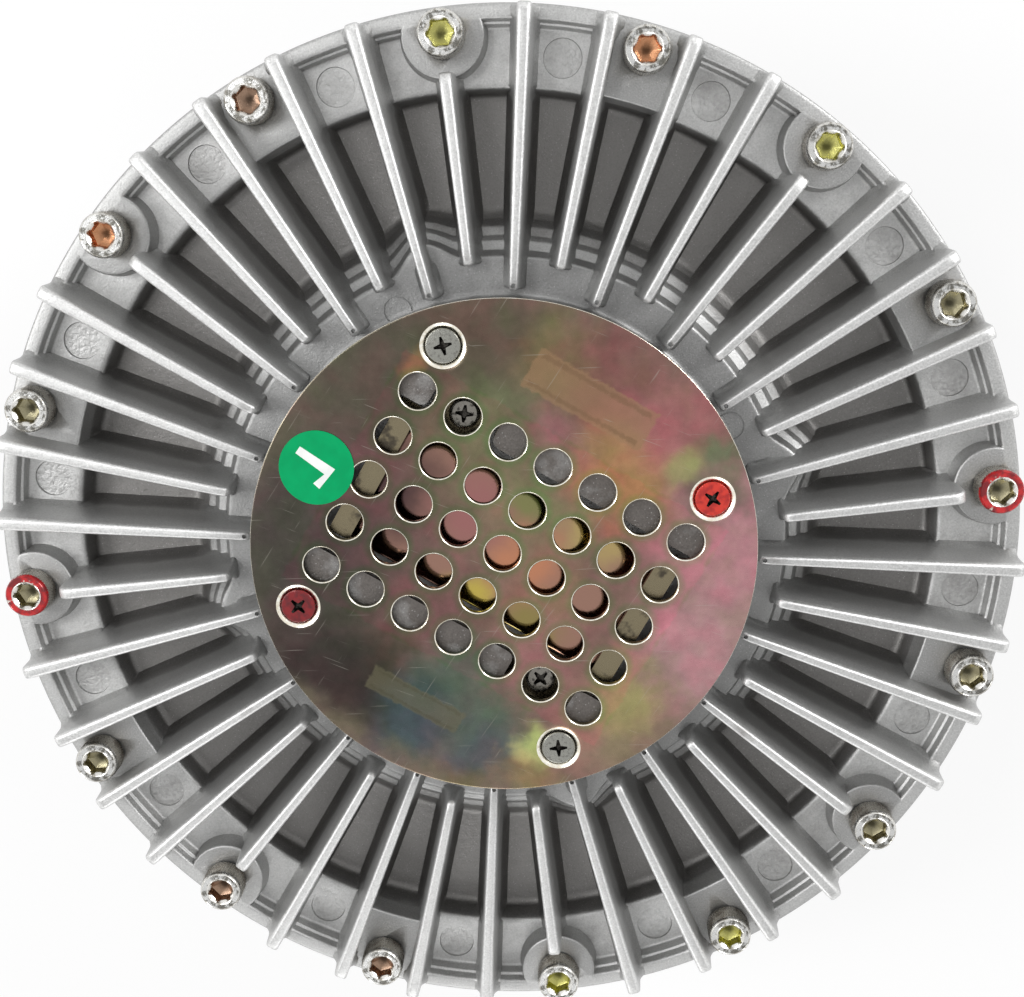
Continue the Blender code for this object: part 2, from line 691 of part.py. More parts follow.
def plate_screws():
    """Four countersunk screws that hold the perforated plate, each with its origin in its top."""
    profile = [(0.0, -PLATE_SCREW_L), (PLATE_SCREW_R, -PLATE_SCREW_L), (PLATE_SCREW_R, -PLATE_SCREW_HEAD_H)]
    profile += [(PLATE_SCREW_HEAD_R, 0.0), (0.0, 0.0)]
    for i in range(PLATE_SCREWS):
        angle = plate_screw_angle(i)
        place = polar(PLATE_SCREW_CIRCLE_R, angle, PLATE_TOP)
        screw = turned(f"plate_screw_{i + 1}", profile, HOLE_SIDES, place, angle)
        cross = cross_tool(f"plate_cross_tool_{i + 1}", place, angle + i * CROSS_TURN, CROSS_DEPTH)
        combine(screw, cross, "DIFFERENCE")
        finish(screw, "red" if i % 2 else "zinc")


def perforated_plate():
    plate = turned("perforated_plate", rod_profile(PLATE_R, PLATE_Z, PLATE_TOP), CASE_SIDES)
    builder = bmesh.new()
    for i in range(HOLES_LONG):
        for j in range(HOLES_WIDE):
            x = (i - (HOLES_LONG - 1) / 2) * HOLE_PITCH
            y = (j - (HOLES_WIDE - 1) / 2) * HOLE_PITCH
            place = turn((x, y), PLATE_TURN, 0.0)
            hole = rod_profile(HOLE_R, PLATE_Z - SINK, PLATE_TOP + SINK)
            add_turned(builder, hole, SMALL_SIDES, (place.x, place.y))
    slope = (PLATE_SCREW_HEAD_R - PLATE_SCREW_R) / PLATE_SCREW_HEAD_H
    wide = PLATE_SCREW_HEAD_R + GAP + slope * SINK
    narrow = PLATE_SCREW_HEAD_R + GAP - slope * (PLATE_T + SINK)
    for i in range(PLATE_SCREWS):
        place = polar(PLATE_SCREW_CIRCLE_R, plate_screw_angle(i))
        sink = [(0.0, PLATE_Z - SINK), (narrow, PLATE_Z - SINK)]
        sink += [(wide, PLATE_TOP + SINK), (0.0, PLATE_TOP + SINK)]
        add_turned(builder, sink, HOLE_SIDES, (place.x, place.y))
    combine(plate, to_object("plate_holes_tool", builder), "DIFFERENCE")
    return finish(plate, "passivated")


def inspection_sticker():
    place = polar(STICKER_AT_R, STICKER_ANGLE, PLATE_TOP + STICKER_GAP)
    film = rod_profile(STICKER_R, 0.0, STICKER_T)
    return finish(turned("inspection_sticker", film, 2 * HOLE_SIDES, place), "green")


def bimetal_strip():
    half_l = STRIP_L / 2
    half_w = STRIP_W / 2
    corner = STRIP_T
    outline = []
    for sx, sy in ((1, 1), (-1, 1), (-1, -1), (1, -1)):
        pair = [(sx * half_l, sy * (half_w - corner)), (sx * (half_l - corner), sy * half_w)]
        outline += pair if sx == sy else pair[::-1]
    builder = bmesh.new()
    add_prism(builder, [(x, y, 0.0) for x, y in outline], [(x, y, STRIP_T) for x, y in outline])
    return finish(put(to_object("bimetal_strip", builder), (0.0, 0.0, STRIP_Z), PLATE_TURN), "brass")


def strip_bracket(number, angle):
    """A folded clip with a lip over the strip's end and a foot beside it, under a pan head screw."""
    half_w = STRIP_W / 2
    wall_in = STRIP_L / 2 + GAP
    wall_out = wall_in + BRACKET_T
    base_in = STRIP_L / 2 - BRACKET_LIP
    lip_low = BRACKET_T + GAP + STRIP_T + GAP
    lip_top = lip_low + BRACKET_T
    section = [(base_in, 0.0), (wall_out, 0.0), (wall_out, lip_top), (base_in, lip_top)]
    section += [(base_in, lip_low), (wall_in, lip_low), (wall_in, BRACKET_T), (base_in, BRACKET_T)]
    builder = bmesh.new()
    add_prism(builder, [(u, -half_w, z) for u, z in section], [(u, half_w, z) for u, z in section])
    base = (0.0, 0.0, BRACKET_Z)
    bracket = put(to_object(f"strip_bracket_{number}", builder), base, angle)

    foot_in = BRACKET_SCREW_AT - BAY_L / 2 + 2 * GAP
    foot_out = BRACKET_SCREW_AT + BAY_L / 2 - 2 * GAP
    foot_end = -(BAY_REACH - 2 * GAP)
    foot_start = -(half_w + SINK)
    plates = [(foot_in, foot_out, foot_end, foot_start)]
    plates += [(foot_in + SINK, wall_out - GAP, -(POCKET_HALF_W - SINK), foot_start - GAP)]
    plates += [(base_in + GAP, wall_out - 2 * GAP, -(POCKET_HALF_W - 2 * SINK), SINK - half_w)]
    for step, (x0, x1, y0, y1) in enumerate(plates):
        builder = bmesh.new()
        corners = [(x0, y0), (x1, y0), (x1, y1), (x0, y1)]
        add_prism(builder, [(x, y, 0.0) for x, y in corners], [(x, y, BRACKET_T) for x, y in corners])
        combine(bracket, put(to_object(f"foot_tool_{number}_{step}", builder), base, angle), "UNION")
    place = turn((BRACKET_SCREW_AT, -BRACKET_SCREW_AT), angle, BRACKET_Z)
    hole = rod_profile(BRACKET_SCREW_R + GAP, -SINK, BRACKET_T + SINK)
    combine(bracket, turned(f"foot_hole_tool_{number}", hole, SMALL_SIDES, place, angle), "DIFFERENCE")
    return finish(bracket, "steel")


def bracket_screw(number, angle):
    """A pan head screw with its origin under its head."""
    head = BRACKET_SCREW_HEAD_H
    profile = [(0.0, -BRACKET_SCREW_L), (BRACKET_SCREW_R, -BRACKET_SCREW_L), (BRACKET_SCREW_R, 0.0)]
    profile += [(BRACKET_SCREW_HEAD_R, 0.0), (BRACKET_SCREW_HEAD_R, head / 2)]
    profile += [(BRACKET_SCREW_HEAD_R * DOME, head), (0.0, head)]
    place = turn((BRACKET_SCREW_AT, -BRACKET_SCREW_AT), angle, BRACKET_TOP + GAP)
    screw = turned(f"bracket_screw_{number}", profile, SMALL_SIDES, place, angle)
    crest = Vector((place.x, place.y, place.z + head))
    cross = cross_tool(f"bracket_cross_tool_{number}", crest, angle + CROSS_TURN, BRACKET_CROSS_DEPTH)
    combine(screw, cross, "DIFFERENCE")
    return finish(screw, "zinc")


def strip_brackets():
    for number, angle in ((1, PLATE_TURN + pi), (2, PLATE_TURN)):
        strip_bracket(number, angle)
        bracket_screw(number, angle)


def leaf_hinge():
    """The place where the leaf bends, beside its rivet."""
    return turn((-LEAF_HINGE_AT, 0.0), PLATE_TURN, LEAF_Z + LEAF_T / 2)


def valve():
    """Separator plate with its port, the leaf on its rivet, and the pin that lets it lift."""
    port = turn((PORT_AT, 0.0), PLATE_TURN, 0.0)
    hinge = leaf_hinge()
    low = SEPARATOR_TOP - SEPARATOR_T
    profile = rod_profile(SEPARATOR_R, low, SEPARATOR_TOP)
    separator = turned("separator_plate", profile, INNER_SIDES)
    builder = bmesh.new()
    for place, radius in ((port, PORT_R), (hinge, RIVET_R + GAP)):
        hole = rod_profile(radius, low - SINK, SEPARATOR_TOP + SINK)
        add_turned(builder, hole, SMALL_SIDES, (place.x, place.y))
    combine(separator, to_object("separator_holes_tool", builder), "DIFFERENCE")
    finish(separator, "zinc")

    half_t = LEAF_T / 2
    tip = LEAF_HINGE_AT + PORT_AT + LEAF_OVER_PORT
    outline = [(-LEAF_TAIL, -LEAF_TAIL_W / 2), (tip, -LEAF_W / 2)]
    outline += [(tip, LEAF_W / 2), (-LEAF_TAIL, LEAF_TAIL_W / 2)]
    builder = bmesh.new()
    add_prism(builder, [(x, y, -half_t) for x, y in outline], [(x, y, half_t) for x, y in outline])
    leaf = put(to_object("valve_leaf", builder), hinge, PLATE_TURN)
    hole = rod_profile(RIVET_R + GAP, -half_t - SINK, half_t + SINK)
    combine(leaf, turned("leaf_hole_tool", hole, SMALL_SIDES, hinge, PLATE_TURN), "DIFFERENCE")
    finish(leaf, "steel")

    top = half_t + GAP
    under = -half_t - GAP - SEPARATOR_T - GAP
    profile = [(0.0, under - RIVET_HEAD_H), (RIVET_HEAD_R, under - RIVET_HEAD_H), (RIVET_HEAD_R, under)]
    profile += [(RIVET_R, under), (RIVET_R, top), (RIVET_HEAD_R, top)]
    profile += [(RIVET_HEAD_R * DOME, top + RIVET_HEAD_H), (0.0, top + RIVET_HEAD_H)]
    finish(turned("valve_rivet", profile, SMALL_SIDES, hinge, PLATE_TURN), "steel")

    pin = rod_profile(PIN_R, LEAF_Z + LEAF_T + GAP, STRIP_Z - GAP)
    finish(turned("control_pin", pin, SMALL_SIDES), "steel")
    seal_z = POCKET_Z - SEAL_WIRE_R - GAP
    seal_r = PIN_R + 2 * GAP + SEAL_WIRE_R
    o_ring("pin_seal_ring", seal_r, SEAL_WIRE_R, seal_z, SMALL_SIDES)


def o_ring(name, radius, wire, z, sides):
    profile = []
    for i in range(SEAL_WIRE_SIDES):
        angle = 2 * pi * i / SEAL_WIRE_SIDES
        profile.append((radius + wire * cos(angle), z + wire * sin(angle)))
    return finish(turned(name, profile, sides), "rubber")


def rotor():
    """The driven disc with ring lands on both faces, and the ring that keeps it on the shaft."""
    bore = ROTOR_SEAT_R + GAP
    thick_from = LAND_FIRST_R + LAND_PITCH * LANDS
    profile = [(bore, ROTOR_HUB_LOW), (ROTOR_HUB_R, ROTOR_HUB_LOW), (ROTOR_HUB_R, WEB_LOW)]
    profile += land_points(LAND_FIRST_R, WEB_LOW, ROTOR_LOW)
    profile += [(thick_from, WEB_LOW), (thick_from, ROTOR_LOW), (ROTOR_R, ROTOR_LOW), (ROTOR_R, ROTOR_TOP)]
    profile += [(thick_from, ROTOR_TOP), (thick_from, WEB_TOP)]
    profile += land_points(LAND_FIRST_R, WEB_TOP, ROTOR_TOP)[::-1]
    profile += [(ROTOR_HUB_R, WEB_TOP), (ROTOR_HUB_R, ROTOR_HUB_TOP), (bore, ROTOR_HUB_TOP)]
    finish(turned("rotor_disc", profile, INNER_SIDES), "steel")
    inner = ROTOR_SEAT_R - CLIP_BITE + GAP
    ring = ring_profile(inner, ROTOR_SEAT_R + RING_BITE, ROTOR_RING_Z, ROTOR_RING_Z + CLIP_T)
    finish(turned("rotor_ring", ring, SMALL_SIDES * 2), "steel")


def input_shaft():
    """Flanged shaft with a bearing seat and a rotor seat, each with its ring groove."""
    neck_top = FLANGE_T + NECK_L
    clip_z = BEARING_TOP + GAP
    groove = SEAT_R - CLIP_BITE
    step_z = ROTOR_HUB_LOW - GAP
    ring_groove = ROTOR_SEAT_R - CLIP_BITE
    ring_z = ROTOR_RING_Z
    tip = ring_z + CLIP_T + GAP / 2 + SHAFT_TIP
    profile = [(0.0, 0.0), (FLANGE_R, 0.0), (FLANGE_R, FLANGE_T)]
    profile += [(NECK_R, FLANGE_T), (NECK_R, neck_top), (SEAT_R, neck_top)]
    profile += [(SEAT_R, clip_z - GAP / 2), (groove, clip_z - GAP / 2), (groove, clip_z + CLIP_T + GAP / 2)]
    profile += [(SEAT_R, clip_z + CLIP_T + GAP / 2), (SEAT_R, step_z), (ROTOR_SEAT_R, step_z)]
    profile += [(ROTOR_SEAT_R, ring_z - GAP / 2), (ring_groove, ring_z - GAP / 2)]
    profile += [(ring_groove, ring_z + CLIP_T + GAP / 2), (ROTOR_SEAT_R, ring_z + CLIP_T + GAP / 2)]
    profile += [(ROTOR_SEAT_R, tip), (0.0, tip)]
    shaft = turned("input_shaft", profile, INNER_SIDES)
    builder = bmesh.new()
    for i in range(FLANGE_HOLES):
        place = polar(FLANGE_HOLE_CIRCLE_R, 2 * pi * i / FLANGE_HOLES)
        hole = rod_profile(FLANGE_HOLE_R, -SINK, FLANGE_T + SINK)
        add_turned(builder, hole, SMALL_SIDES, (place.x, place.y), pi / SMALL_SIDES)
    combine(shaft, to_object("flange_holes_tool", builder), "DIFFERENCE")
    finish(shaft, "steel")
    ring = ring_profile(groove + GAP, SEAT_R + CLIP_BITE, clip_z, clip_z + CLIP_T)
    finish(turned("shaft_circlip", ring, SMALL_SIDES * 2), "steel")


def race_points(outer):
    """A race's groove from its low edge to its high one, its flats clear of the balls."""
    start = acos(RACE_RISE_SHARE)
    step = 2 * start / (RACE_POINTS - 1)
    swing = (BALL_R + GAP) / cos(step / 2)
    points = []
    for i in range(RACE_POINTS):
        angle = step * i - start
        z = BEARING_MID + swing * sin(angle)
        if outer:
            points.append(((BALL_PITCH_R + swing * cos(angle)) / cos(pi / BEARING_SIDES), z))
        else:
            points.append((BALL_PITCH_R - swing * cos(angle), z))
    return points


def bearing():
    low = BEARING_LOW
    top = BEARING_TOP
    outer_race = race_points(True)
    inner_race = race_points(False)
    outer_in = outer_race[0][0]
    inner_out = inner_race[0][0]
    profile = [(BEARING_OUTER_R, low), (BEARING_OUTER_R, top), (outer_in, top)]
    profile += outer_race[::-1] + [(outer_in, low)]
    finish(turned("bearing_outer_ring", profile, BEARING_SIDES), "steel")
    profile = [(BEARING_BORE_R, low), (inner_out, low)] + inner_race
    profile += [(inner_out, top), (BEARING_BORE_R, top)]
    finish(turned("bearing_inner_ring", profile, BEARING_SIDES), "steel")

    cage_in = BALL_PITCH_R - CAGE_T / 2
    cage_low = BEARING_MID - CAGE_H / 2
    band = ring_profile(cage_in, cage_in + CAGE_T, cage_low, cage_low + CAGE_H)
    cage = turned("ball_cage", band, BEARING_SIDES)
    builder = bmesh.new()
    for i in range(BALLS):
        angle = 2 * pi * i / BALLS
        across = Matrix.Rotation(angle, 4, "Z") @ Matrix.Rotation(pi / 2, 4, "Y")
        place = Matrix.Translation(polar(BALL_PITCH_R, angle, BEARING_MID)) @ across
        size = (BALL_R + GAP) / cos(pi / TAPPED_SIDES)
        bmesh.ops.create_cone(builder, cap_ends=True, segments=TAPPED_SIDES, radius1=size, radius2=size,
                              depth=4 * CAGE_T, matrix=place)
    combine(cage, to_object("cage_pockets_tool", builder), "DIFFERENCE")
    finish(cage, "brass")
    for i in range(BALLS):
        builder = bmesh.new()
        bmesh.ops.create_icosphere(builder, subdivisions=BALL_ROUNDS, radius=BALL_R)
        ball = to_object(f"bearing_ball_{i + 1}", builder)
        finish(put(ball, polar(BALL_PITCH_R, 2 * pi * i / BALLS, BEARING_MID)), "steel")

    for number, z in ((1, low + GAP), (2, top - GAP - SHIELD_T)):
        shield = ring_profile(inner_out + SHIELD_CLEAR, outer_in - GAP, z, z + SHIELD_T)
        finish(turned(f"bearing_shield_{number}", shield, BEARING_SIDES), "steel")
    bore = BEARING_OUTER_R + GAP
    clip = ring_profile(bore - CLIP_BITE, bore + CLIP_BITE - GAP, BEARING_CLIP_Z, BEARING_CLIP_Z + CLIP_T)
    finish(turned("bearing_circlip", clip, BEARING_SIDES), "steel")


def case_seal():
    z = JOINT_Z - CASE_SEAL_WIRE_R + GAP / 2
    o_ring("cover_seal_ring", CASE_SEAL_R, CASE_SEAL_WIRE_R, z, CASE_SIDES)


def gather(name, centre, turned_by, pieces):
    """Parent the pieces that move together to an empty on the axis they move about."""
    empty = bpy.data.objects.new(name, None)
    empty.empty_display_size = HUB_OUT_R
    bpy.context.scene.collection.objects.link(empty)
    put(empty, centre, turned_by)
    back = Matrix.Rotation(-turned_by, 4, "Z") @ Matrix.Translation(-Vector(centre))
    for piece in pieces:
        piece.parent = empty
        piece.location = back @ piece.location
        piece.rotation_euler.z -= turned_by


def build():
    for obj in list(bpy.data.objects):
        bpy.data.objects.remove(obj)
    front_cover()
    rear_housing()
    perforated_plate()
    inspection_sticker()
    plate_screws()
    cap_screws()
    bimetal_strip()
    strip_brackets()
    valve()
    rotor()
    input_shaft()
    bearing()
    case_seal()

    solids = [obj for obj in bpy.data.objects if not obj.hide_render]
    balls = [obj for obj in solids if obj.name.startswith(("ball_cage", "bearing_ball_"))]
    on_shaft = ("input_shaft", "rotor_disc", "rotor_ring", "shaft_circlip", "bearing_inner_ring")
    driven = [obj for obj in solids if obj.name in on_shaft]
    pin = [obj for obj in solids if obj.name == "control_pin"]
    leaf = [obj for obj in solids if obj.name == "valve_leaf"]
    casing = [obj for obj in solids if obj not in balls + driven + pin + leaf]
    bearing_centre = (0.0, 0.0, BEARING_MID)
    gather("driven_pieces", bearing_centre, 0.0, driven)
    gather("casing_pieces", bearing_centre, 0.0, casing)
    gather("ball_pieces", bearing_centre, 0.0, balls)
    gather("pin_pieces", (0.0, 0.0, STRIP_Z), PLATE_TURN, pin)
    gather("leaf_pieces", leaf_hinge(), PLATE_TURN, leaf)


build()
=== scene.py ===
"""Looks of the viscous fan clutch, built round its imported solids.

Metres, +Z up, in the frame of the solids: the clutch axis is Z and the flange stands on Z = 0.
Heights of the cover are given above its channel floor.
"""
import json
from math import acos, atan2, cos, hypot, pi, radians, sin, sqrt

import bmesh
import bpy
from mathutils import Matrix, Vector


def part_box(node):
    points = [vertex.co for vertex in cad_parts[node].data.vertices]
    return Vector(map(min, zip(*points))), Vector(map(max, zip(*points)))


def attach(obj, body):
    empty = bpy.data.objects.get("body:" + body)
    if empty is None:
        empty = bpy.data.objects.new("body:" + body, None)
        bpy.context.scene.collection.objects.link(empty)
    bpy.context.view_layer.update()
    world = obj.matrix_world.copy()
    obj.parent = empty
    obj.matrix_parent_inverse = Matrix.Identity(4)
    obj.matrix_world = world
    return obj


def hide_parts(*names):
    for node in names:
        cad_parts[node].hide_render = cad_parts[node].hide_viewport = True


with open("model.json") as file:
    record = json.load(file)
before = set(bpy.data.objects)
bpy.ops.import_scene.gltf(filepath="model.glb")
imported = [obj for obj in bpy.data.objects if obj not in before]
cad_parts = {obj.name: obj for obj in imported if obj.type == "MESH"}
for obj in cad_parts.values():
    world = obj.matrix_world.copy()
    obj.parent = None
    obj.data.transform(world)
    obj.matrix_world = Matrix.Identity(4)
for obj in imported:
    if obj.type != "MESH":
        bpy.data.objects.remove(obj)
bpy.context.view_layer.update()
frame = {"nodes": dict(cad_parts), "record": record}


def low(node):
    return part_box(node)[0]


def high(node):
    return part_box(node)[1]


MM = 0.001
# clearance between pieces, and how far a joined or cutting shape reaches past its neighbour
GAP = 0.0003
SINK = 0.0006
CUT_PAST = 0.001

# head of a cap screw
CAP_R = 0.005
CAP_H = 0.006

# sizes and places that the solids give
RIM_R = high("front_cover").x
PLATE_R = high("perforated_plate").x
PLATE_TOP = high("perforated_plate").z
PLATE_Z = low("perforated_plate").z
CAP_UNDER = high("cover_screw_01").z - CAP_H
SCREW_CIRCLE_R = high("cover_screw_01").y - CAP_R
JOINT_Z = low("front_cover").z
HOUSING_TOP = high("rear_housing").z
HUB_LOW = low("rear_housing").z
STRIP_Z = low("bimetal_strip").z
STRIP_T = high("bimetal_strip").z - STRIP_Z
SEAT_Z = CAP_UNDER - GAP
HUB_Z = PLATE_Z - GAP

# front cover
FLOOR_Z = SEAT_Z - 0.0114
HUB_R = PLATE_R - 0.0013
SHOULDER_R = HUB_R + 0.0092
SHOULDER_Z = FLOOR_Z + 0.0117
# corners of the stair from the shoulder to the floor: distance out, drop, rounding
STAIR = ((0.0012, 0.0036, 0.0007), (0.0032, 0.0045, 0.0011), (0.0043, 0.0062, 0.0010),
         (0.0062, 0.0071, 0.0016), (0.0078, 0.0098, 0.0018))
STAIR_END_R = SHOULDER_R + 0.0097
FLOOR_OUT_R = SCREW_CIRCLE_R - 0.0121
LAND_Z = FLOOR_Z + 0.0064
LAND_OUT_R = RIM_R - 0.0045
RIM_IN_R = RIM_R - 0.0033
PAD_IN_R = FLOOR_OUT_R + 0.0011
PAD_OUT_R = RIM_R - 0.0007
COVER_SIDES = 400
COVER_SMOOTH = 50
CHAMBER_R = SCREW_CIRCLE_R - 0.0095
CHAMBER_Z = FLOOR_Z - 0.004
LEDGE_R = SHOULDER_R + 0.0030
LEDGE_Z = CHAMBER_Z + 0.0049
RESERVOIR_R = 0.060
RESERVOIR_Z = FLOOR_Z + 0.0079
CAVITY_R = 0.050
CAVITY_ROOF_Z = HUB_Z - 0.0109
PIN_BOSS_R = 0.005
PIN_BOSS_END = CAVITY_ROOF_Z - 0.0055

# cooling fins
FINS = 40
FINS_PER_BOSS = 5
FIN_OUT_R = RIM_R - 0.0005
FIN_LONG_R = PLATE_R + 0.0010
FIN_SHORT_R = FIN_LONG_R + 0.0054
BOSS_FIN_R = SCREW_CIRCLE_R - 0.0078
FIN_RISE_IN = 0.0206
FIN_RISE_OUT = 0.0196
FIN_T_IN = 0.0018
FIN_T_OUT = 0.0029
FIN_DRAFT = 0.0012
FIN_CORNER = 0.0018
FIN_END_ROUND = 0.0006
FIN_TIP = 0.00015
FIN_EDGE_SHARE = 0.60
FIN_STEP = 0.0016
FIN_END_STEPS = 5
FIN_LEVELS = 9
FIN_CROWN = 4
BOSS_FIN_CORNER = 0.0030
FILLET_REACH = 0.0026
FILLET_W = 0.0013

# screw bosses, pads and marks
SCREWS = 16
BOSS_R = 0.0089
BOSS_EDGE = 0.0006
BOSS_FOOT = 0.0005
BOSS_STEPS = 40
MARK_R = 0.0041
MARK_AT_R = 0.1057
MARK_ANGLE = radians(13.5)
MARK_DEPTH = 0.00045
DIMPLE_R = 0.00048
DIMPLE_IN = 0.0012
DIMPLE_DEPTH = 0.0016
RING_R = 0.0032
RING_W = 0.00035
RING_DEPTH = 0.00025
RING_OUT = 0.0010
RING_ANGLES = (radians(107.5), radians(21.0))
LOBE_REACH = 0.0048
LOBE_FADE_R = 0.084
LOBE_HALF_ANGLE = radians(8.2)

# perforated sheet
TURN = radians(-36.3)
HOLE_PITCH = 0.0111
HOLE_R = 0.00395
HOLE_LIP = 0.00028
HOLES_LONG = 7
HOLES_WIDE = 5
SHEET_EDGE = 0.0003
PLATE_SCREWS = 4
PLATE_SCREW_CIRCLE_R = 0.0471
PLATE_HEAD_R = 0.0038
PLATE_HOLE_R = 0.0026
DISH_R = 0.0058
DISH_DEPTH = 0.0006
DISH_STEPS = 6

# strip pocket
POCKET_HALF_L = 0.041
POCKET_HALF_W = 0.0195
POCKET_Z = HUB_Z - 0.0059
POCKET_CORNER = 0.0022
BAY_IN = 0.0142
BAY_OUT = 0.0302
BAY_REACH = 0.028
BRACKET_SCREW_R = 0.0222 * sqrt(2)
STRIP_HALF_L = 0.034
STRIP_HALF_W = 0.015
STRIP_CORNER = 0.0012
STRIP_EDGE = 0.00015

# rear housing and shaft
REAR_SMOOTH = 45
REAR_FINS = 24
REAR_FIN_H = 0.0096
REAR_FIN_HALF_T = 0.0013
REAR_FIN_DRAFT = 0.0008
REAR_FIN_CORNER = 0.004
BACK_Z = HUB_LOW + 0.0276
FAN_BOSSES = 8
FAN_CIRCLE_R = 0.080
FAN_BOSS_END = BACK_Z - 0.0115
HUB_OUT_R = 0.038
BEARING_R = 0.0313
CLIP_BITE = 0.0018
CLIP_CLEAR = 0.00015
FLANGE_R = 0.046
FLANGE_T = 0.010
FLANGE_EDGE = 0.0010


def polar(radius, angle, z=0.0):
    return Vector((radius * cos(angle), radius * sin(angle), z))


def spun(point, angle, z):
    x, y = point
    return Vector((x * cos(angle) - y * sin(angle), x * sin(angle) + y * cos(angle), z))


def from_top(number, count):
    """Angle of one of a ring of copies, anticlockwise from +Y."""
    return pi / 2 + 2 * pi * number / count


# the places and angles of what is repeated round the axis
AXIS = (Vector((0.0, 0.0, 0.0)),)
RIM_ANGLES = [from_top(-number, SCREWS) for number in range(SCREWS)]
RIM_PLACES = [polar(SCREW_CIRCLE_R, angle) for angle in RIM_ANGLES]
PLATE_ANGLES = [TURN + 3 * pi / 4 - number * 2 * pi / PLATE_SCREWS for number in range(PLATE_SCREWS)]
PLATE_PLACES = [polar(PLATE_SCREW_CIRCLE_R, angle) for angle in PLATE_ANGLES]
FAN_PLACES = [polar(FAN_CIRCLE_R, from_top(number, FAN_BOSSES)) for number in range(FAN_BOSSES)]


# how much of a side of an outline the rounding of one corner may take
SIDE_SHARE = 0.48


def softened(corners, steps=4):
    """Round those corners of an outline that give a radius after x and y."""
    points = []
    for i, (x, y, *rounding) in enumerate(corners):
        here = Vector((x, y))
        if not rounding:
            points.append((x, y))
            continue
        before = Vector(corners[i - 1][:2]) - here
        after = Vector(corners[i + 1][:2]) - here
        half = before.angle(after) / 2
        tangent = max(sin(half) / cos(half), 1e-6)
        reach = min(rounding[0] / tangent, before.length * SIDE_SHARE, after.length * SIDE_SHARE)
        first = here + before.normalized() * reach
        final = here + after.normalized() * reach
        for k in range(steps + 1):
            t = k / steps
            point = first * (1 - t) ** 2 + here * 2 * t * (1 - t) + final * t ** 2
            points.append((point.x, point.y))
    return points


def rounded_loop(corners, radius):
    """A closed outline with the same rounding at all its corners."""
    outline = []
    for i, corner in enumerate(corners):
        trio = [corners[i - 1], (*corner, radius), corners[(i + 1) % len(corners)]]
        outline += softened(trio, 5)[1:-1]
    return outline


def add_lathe(mesh, profile, sides, places=AXIS, push=None):
    """Turn an (r, z) profile about each place. It is a ring unless its ends lie on the axis."""
    for place in places:
        rings = []
        for radius, z in profile:
            if radius <= 0.0:
                rings.append([mesh.verts.new((place.x, place.y, z))])
                continue
            ring = []
            for i in range(sides):
                angle = 2 * pi * i / sides
                reach = radius + (push(radius, angle) if push else 0.0)
                ring.append(mesh.verts.new((place.x + reach * cos(angle), place.y + reach * sin(angle), z)))
            rings.append(ring)
        solid = len(rings[0]) == 1
        for i in range(len(rings) - (1 if solid else 0)):
            add_band(mesh, rings[i], rings[(i + 1) % len(rings)])


def add_plug(mesh, sides, places, *wall):
    """Turn a solid about each place, from its wall alone."""
    add_lathe(mesh, [(0.0, wall[0][1]), *wall, (0.0, wall[-1][1])], sides, places)


def add_band(mesh, first, second):
    """Join two rings of vertices, either of which may be a single point."""
    sides = max(len(first), len(second))
    for j in range(sides):
        k = (j + 1) % sides
        if len(first) == 1:
            mesh.faces.new([first[0], second[k], second[j]])
        elif len(second) == 1:
            mesh.faces.new([first[j], first[k], second[0]])
        else:
            mesh.faces.new([first[j], first[k], second[k], second[j]])


def add_stack(mesh, outlines):
    """Join closed outlines with as many points, one above the other, and close both ends."""
    rings = [[mesh.verts.new(p) for p in outline] for outline in outlines]
    mesh.faces.new(rings[0][::-1])
    mesh.faces.new(rings[-1])
    for first, second in zip(rings, rings[1:]):
        add_band(mesh, first, second)


def in_scene(name, data):
    obj = bpy.data.objects.new(name, data)
    bpy.context.scene.collection.objects.link(obj)
    return obj


def shaded(data, smooth):
    data.shade_smooth()
    data.set_sharp_from_angle(angle=radians(smooth))


def shaped(name, make, smooth=40):
    """An object from a function that fills its mesh."""
    mesh = bmesh.new()
    make(mesh)
    bmesh.ops.recalc_face_normals(mesh, faces=mesh.faces)
    data = bpy.data.meshes.new(name)
    mesh.to_mesh(data)
    mesh.free()
    shaded(data, smooth)
    return in_scene(name, data)


def lathe(name, profile, sides, smooth=40):
    return shaped(name, lambda mesh: add_lathe(mesh, profile, sides), smooth)


def cut_or_join(obj, operation, *makers, smooth=40):
    """Apply one boolean with each closed shape that a function makes."""
    for make in makers:
        tool = shaped("tool", make)
        modifier = obj.modifiers.new("shape", "BOOLEAN")
        modifier.operation = operation
        modifier.object = tool
        modifier.solver = "MANIFOLD"
        graph = bpy.context.evaluated_depsgraph_get()
        result = bpy.data.meshes.new_from_object(obj.evaluated_get(graph))
        obj.modifiers.clear()
        obj.data = result
        shaded(result, smooth)
        bpy.data.objects.remove(tool)


def dress(obj, body, slot, looks, *nodes, parts=None):
    """Say what a piece rides on, which solids it stands for and what its parts are made of."""
    obj.data.materials.clear()
    for material in looks:
        obj.data.materials.append(material)
    if parts:
        obj.data.polygons.foreach_set("material_index", parts)
    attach(obj, body)
    if nodes:
        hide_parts(*nodes)


# the part of a cloud's radius within which it is at full strength
CLOUD_CORE = 0.20


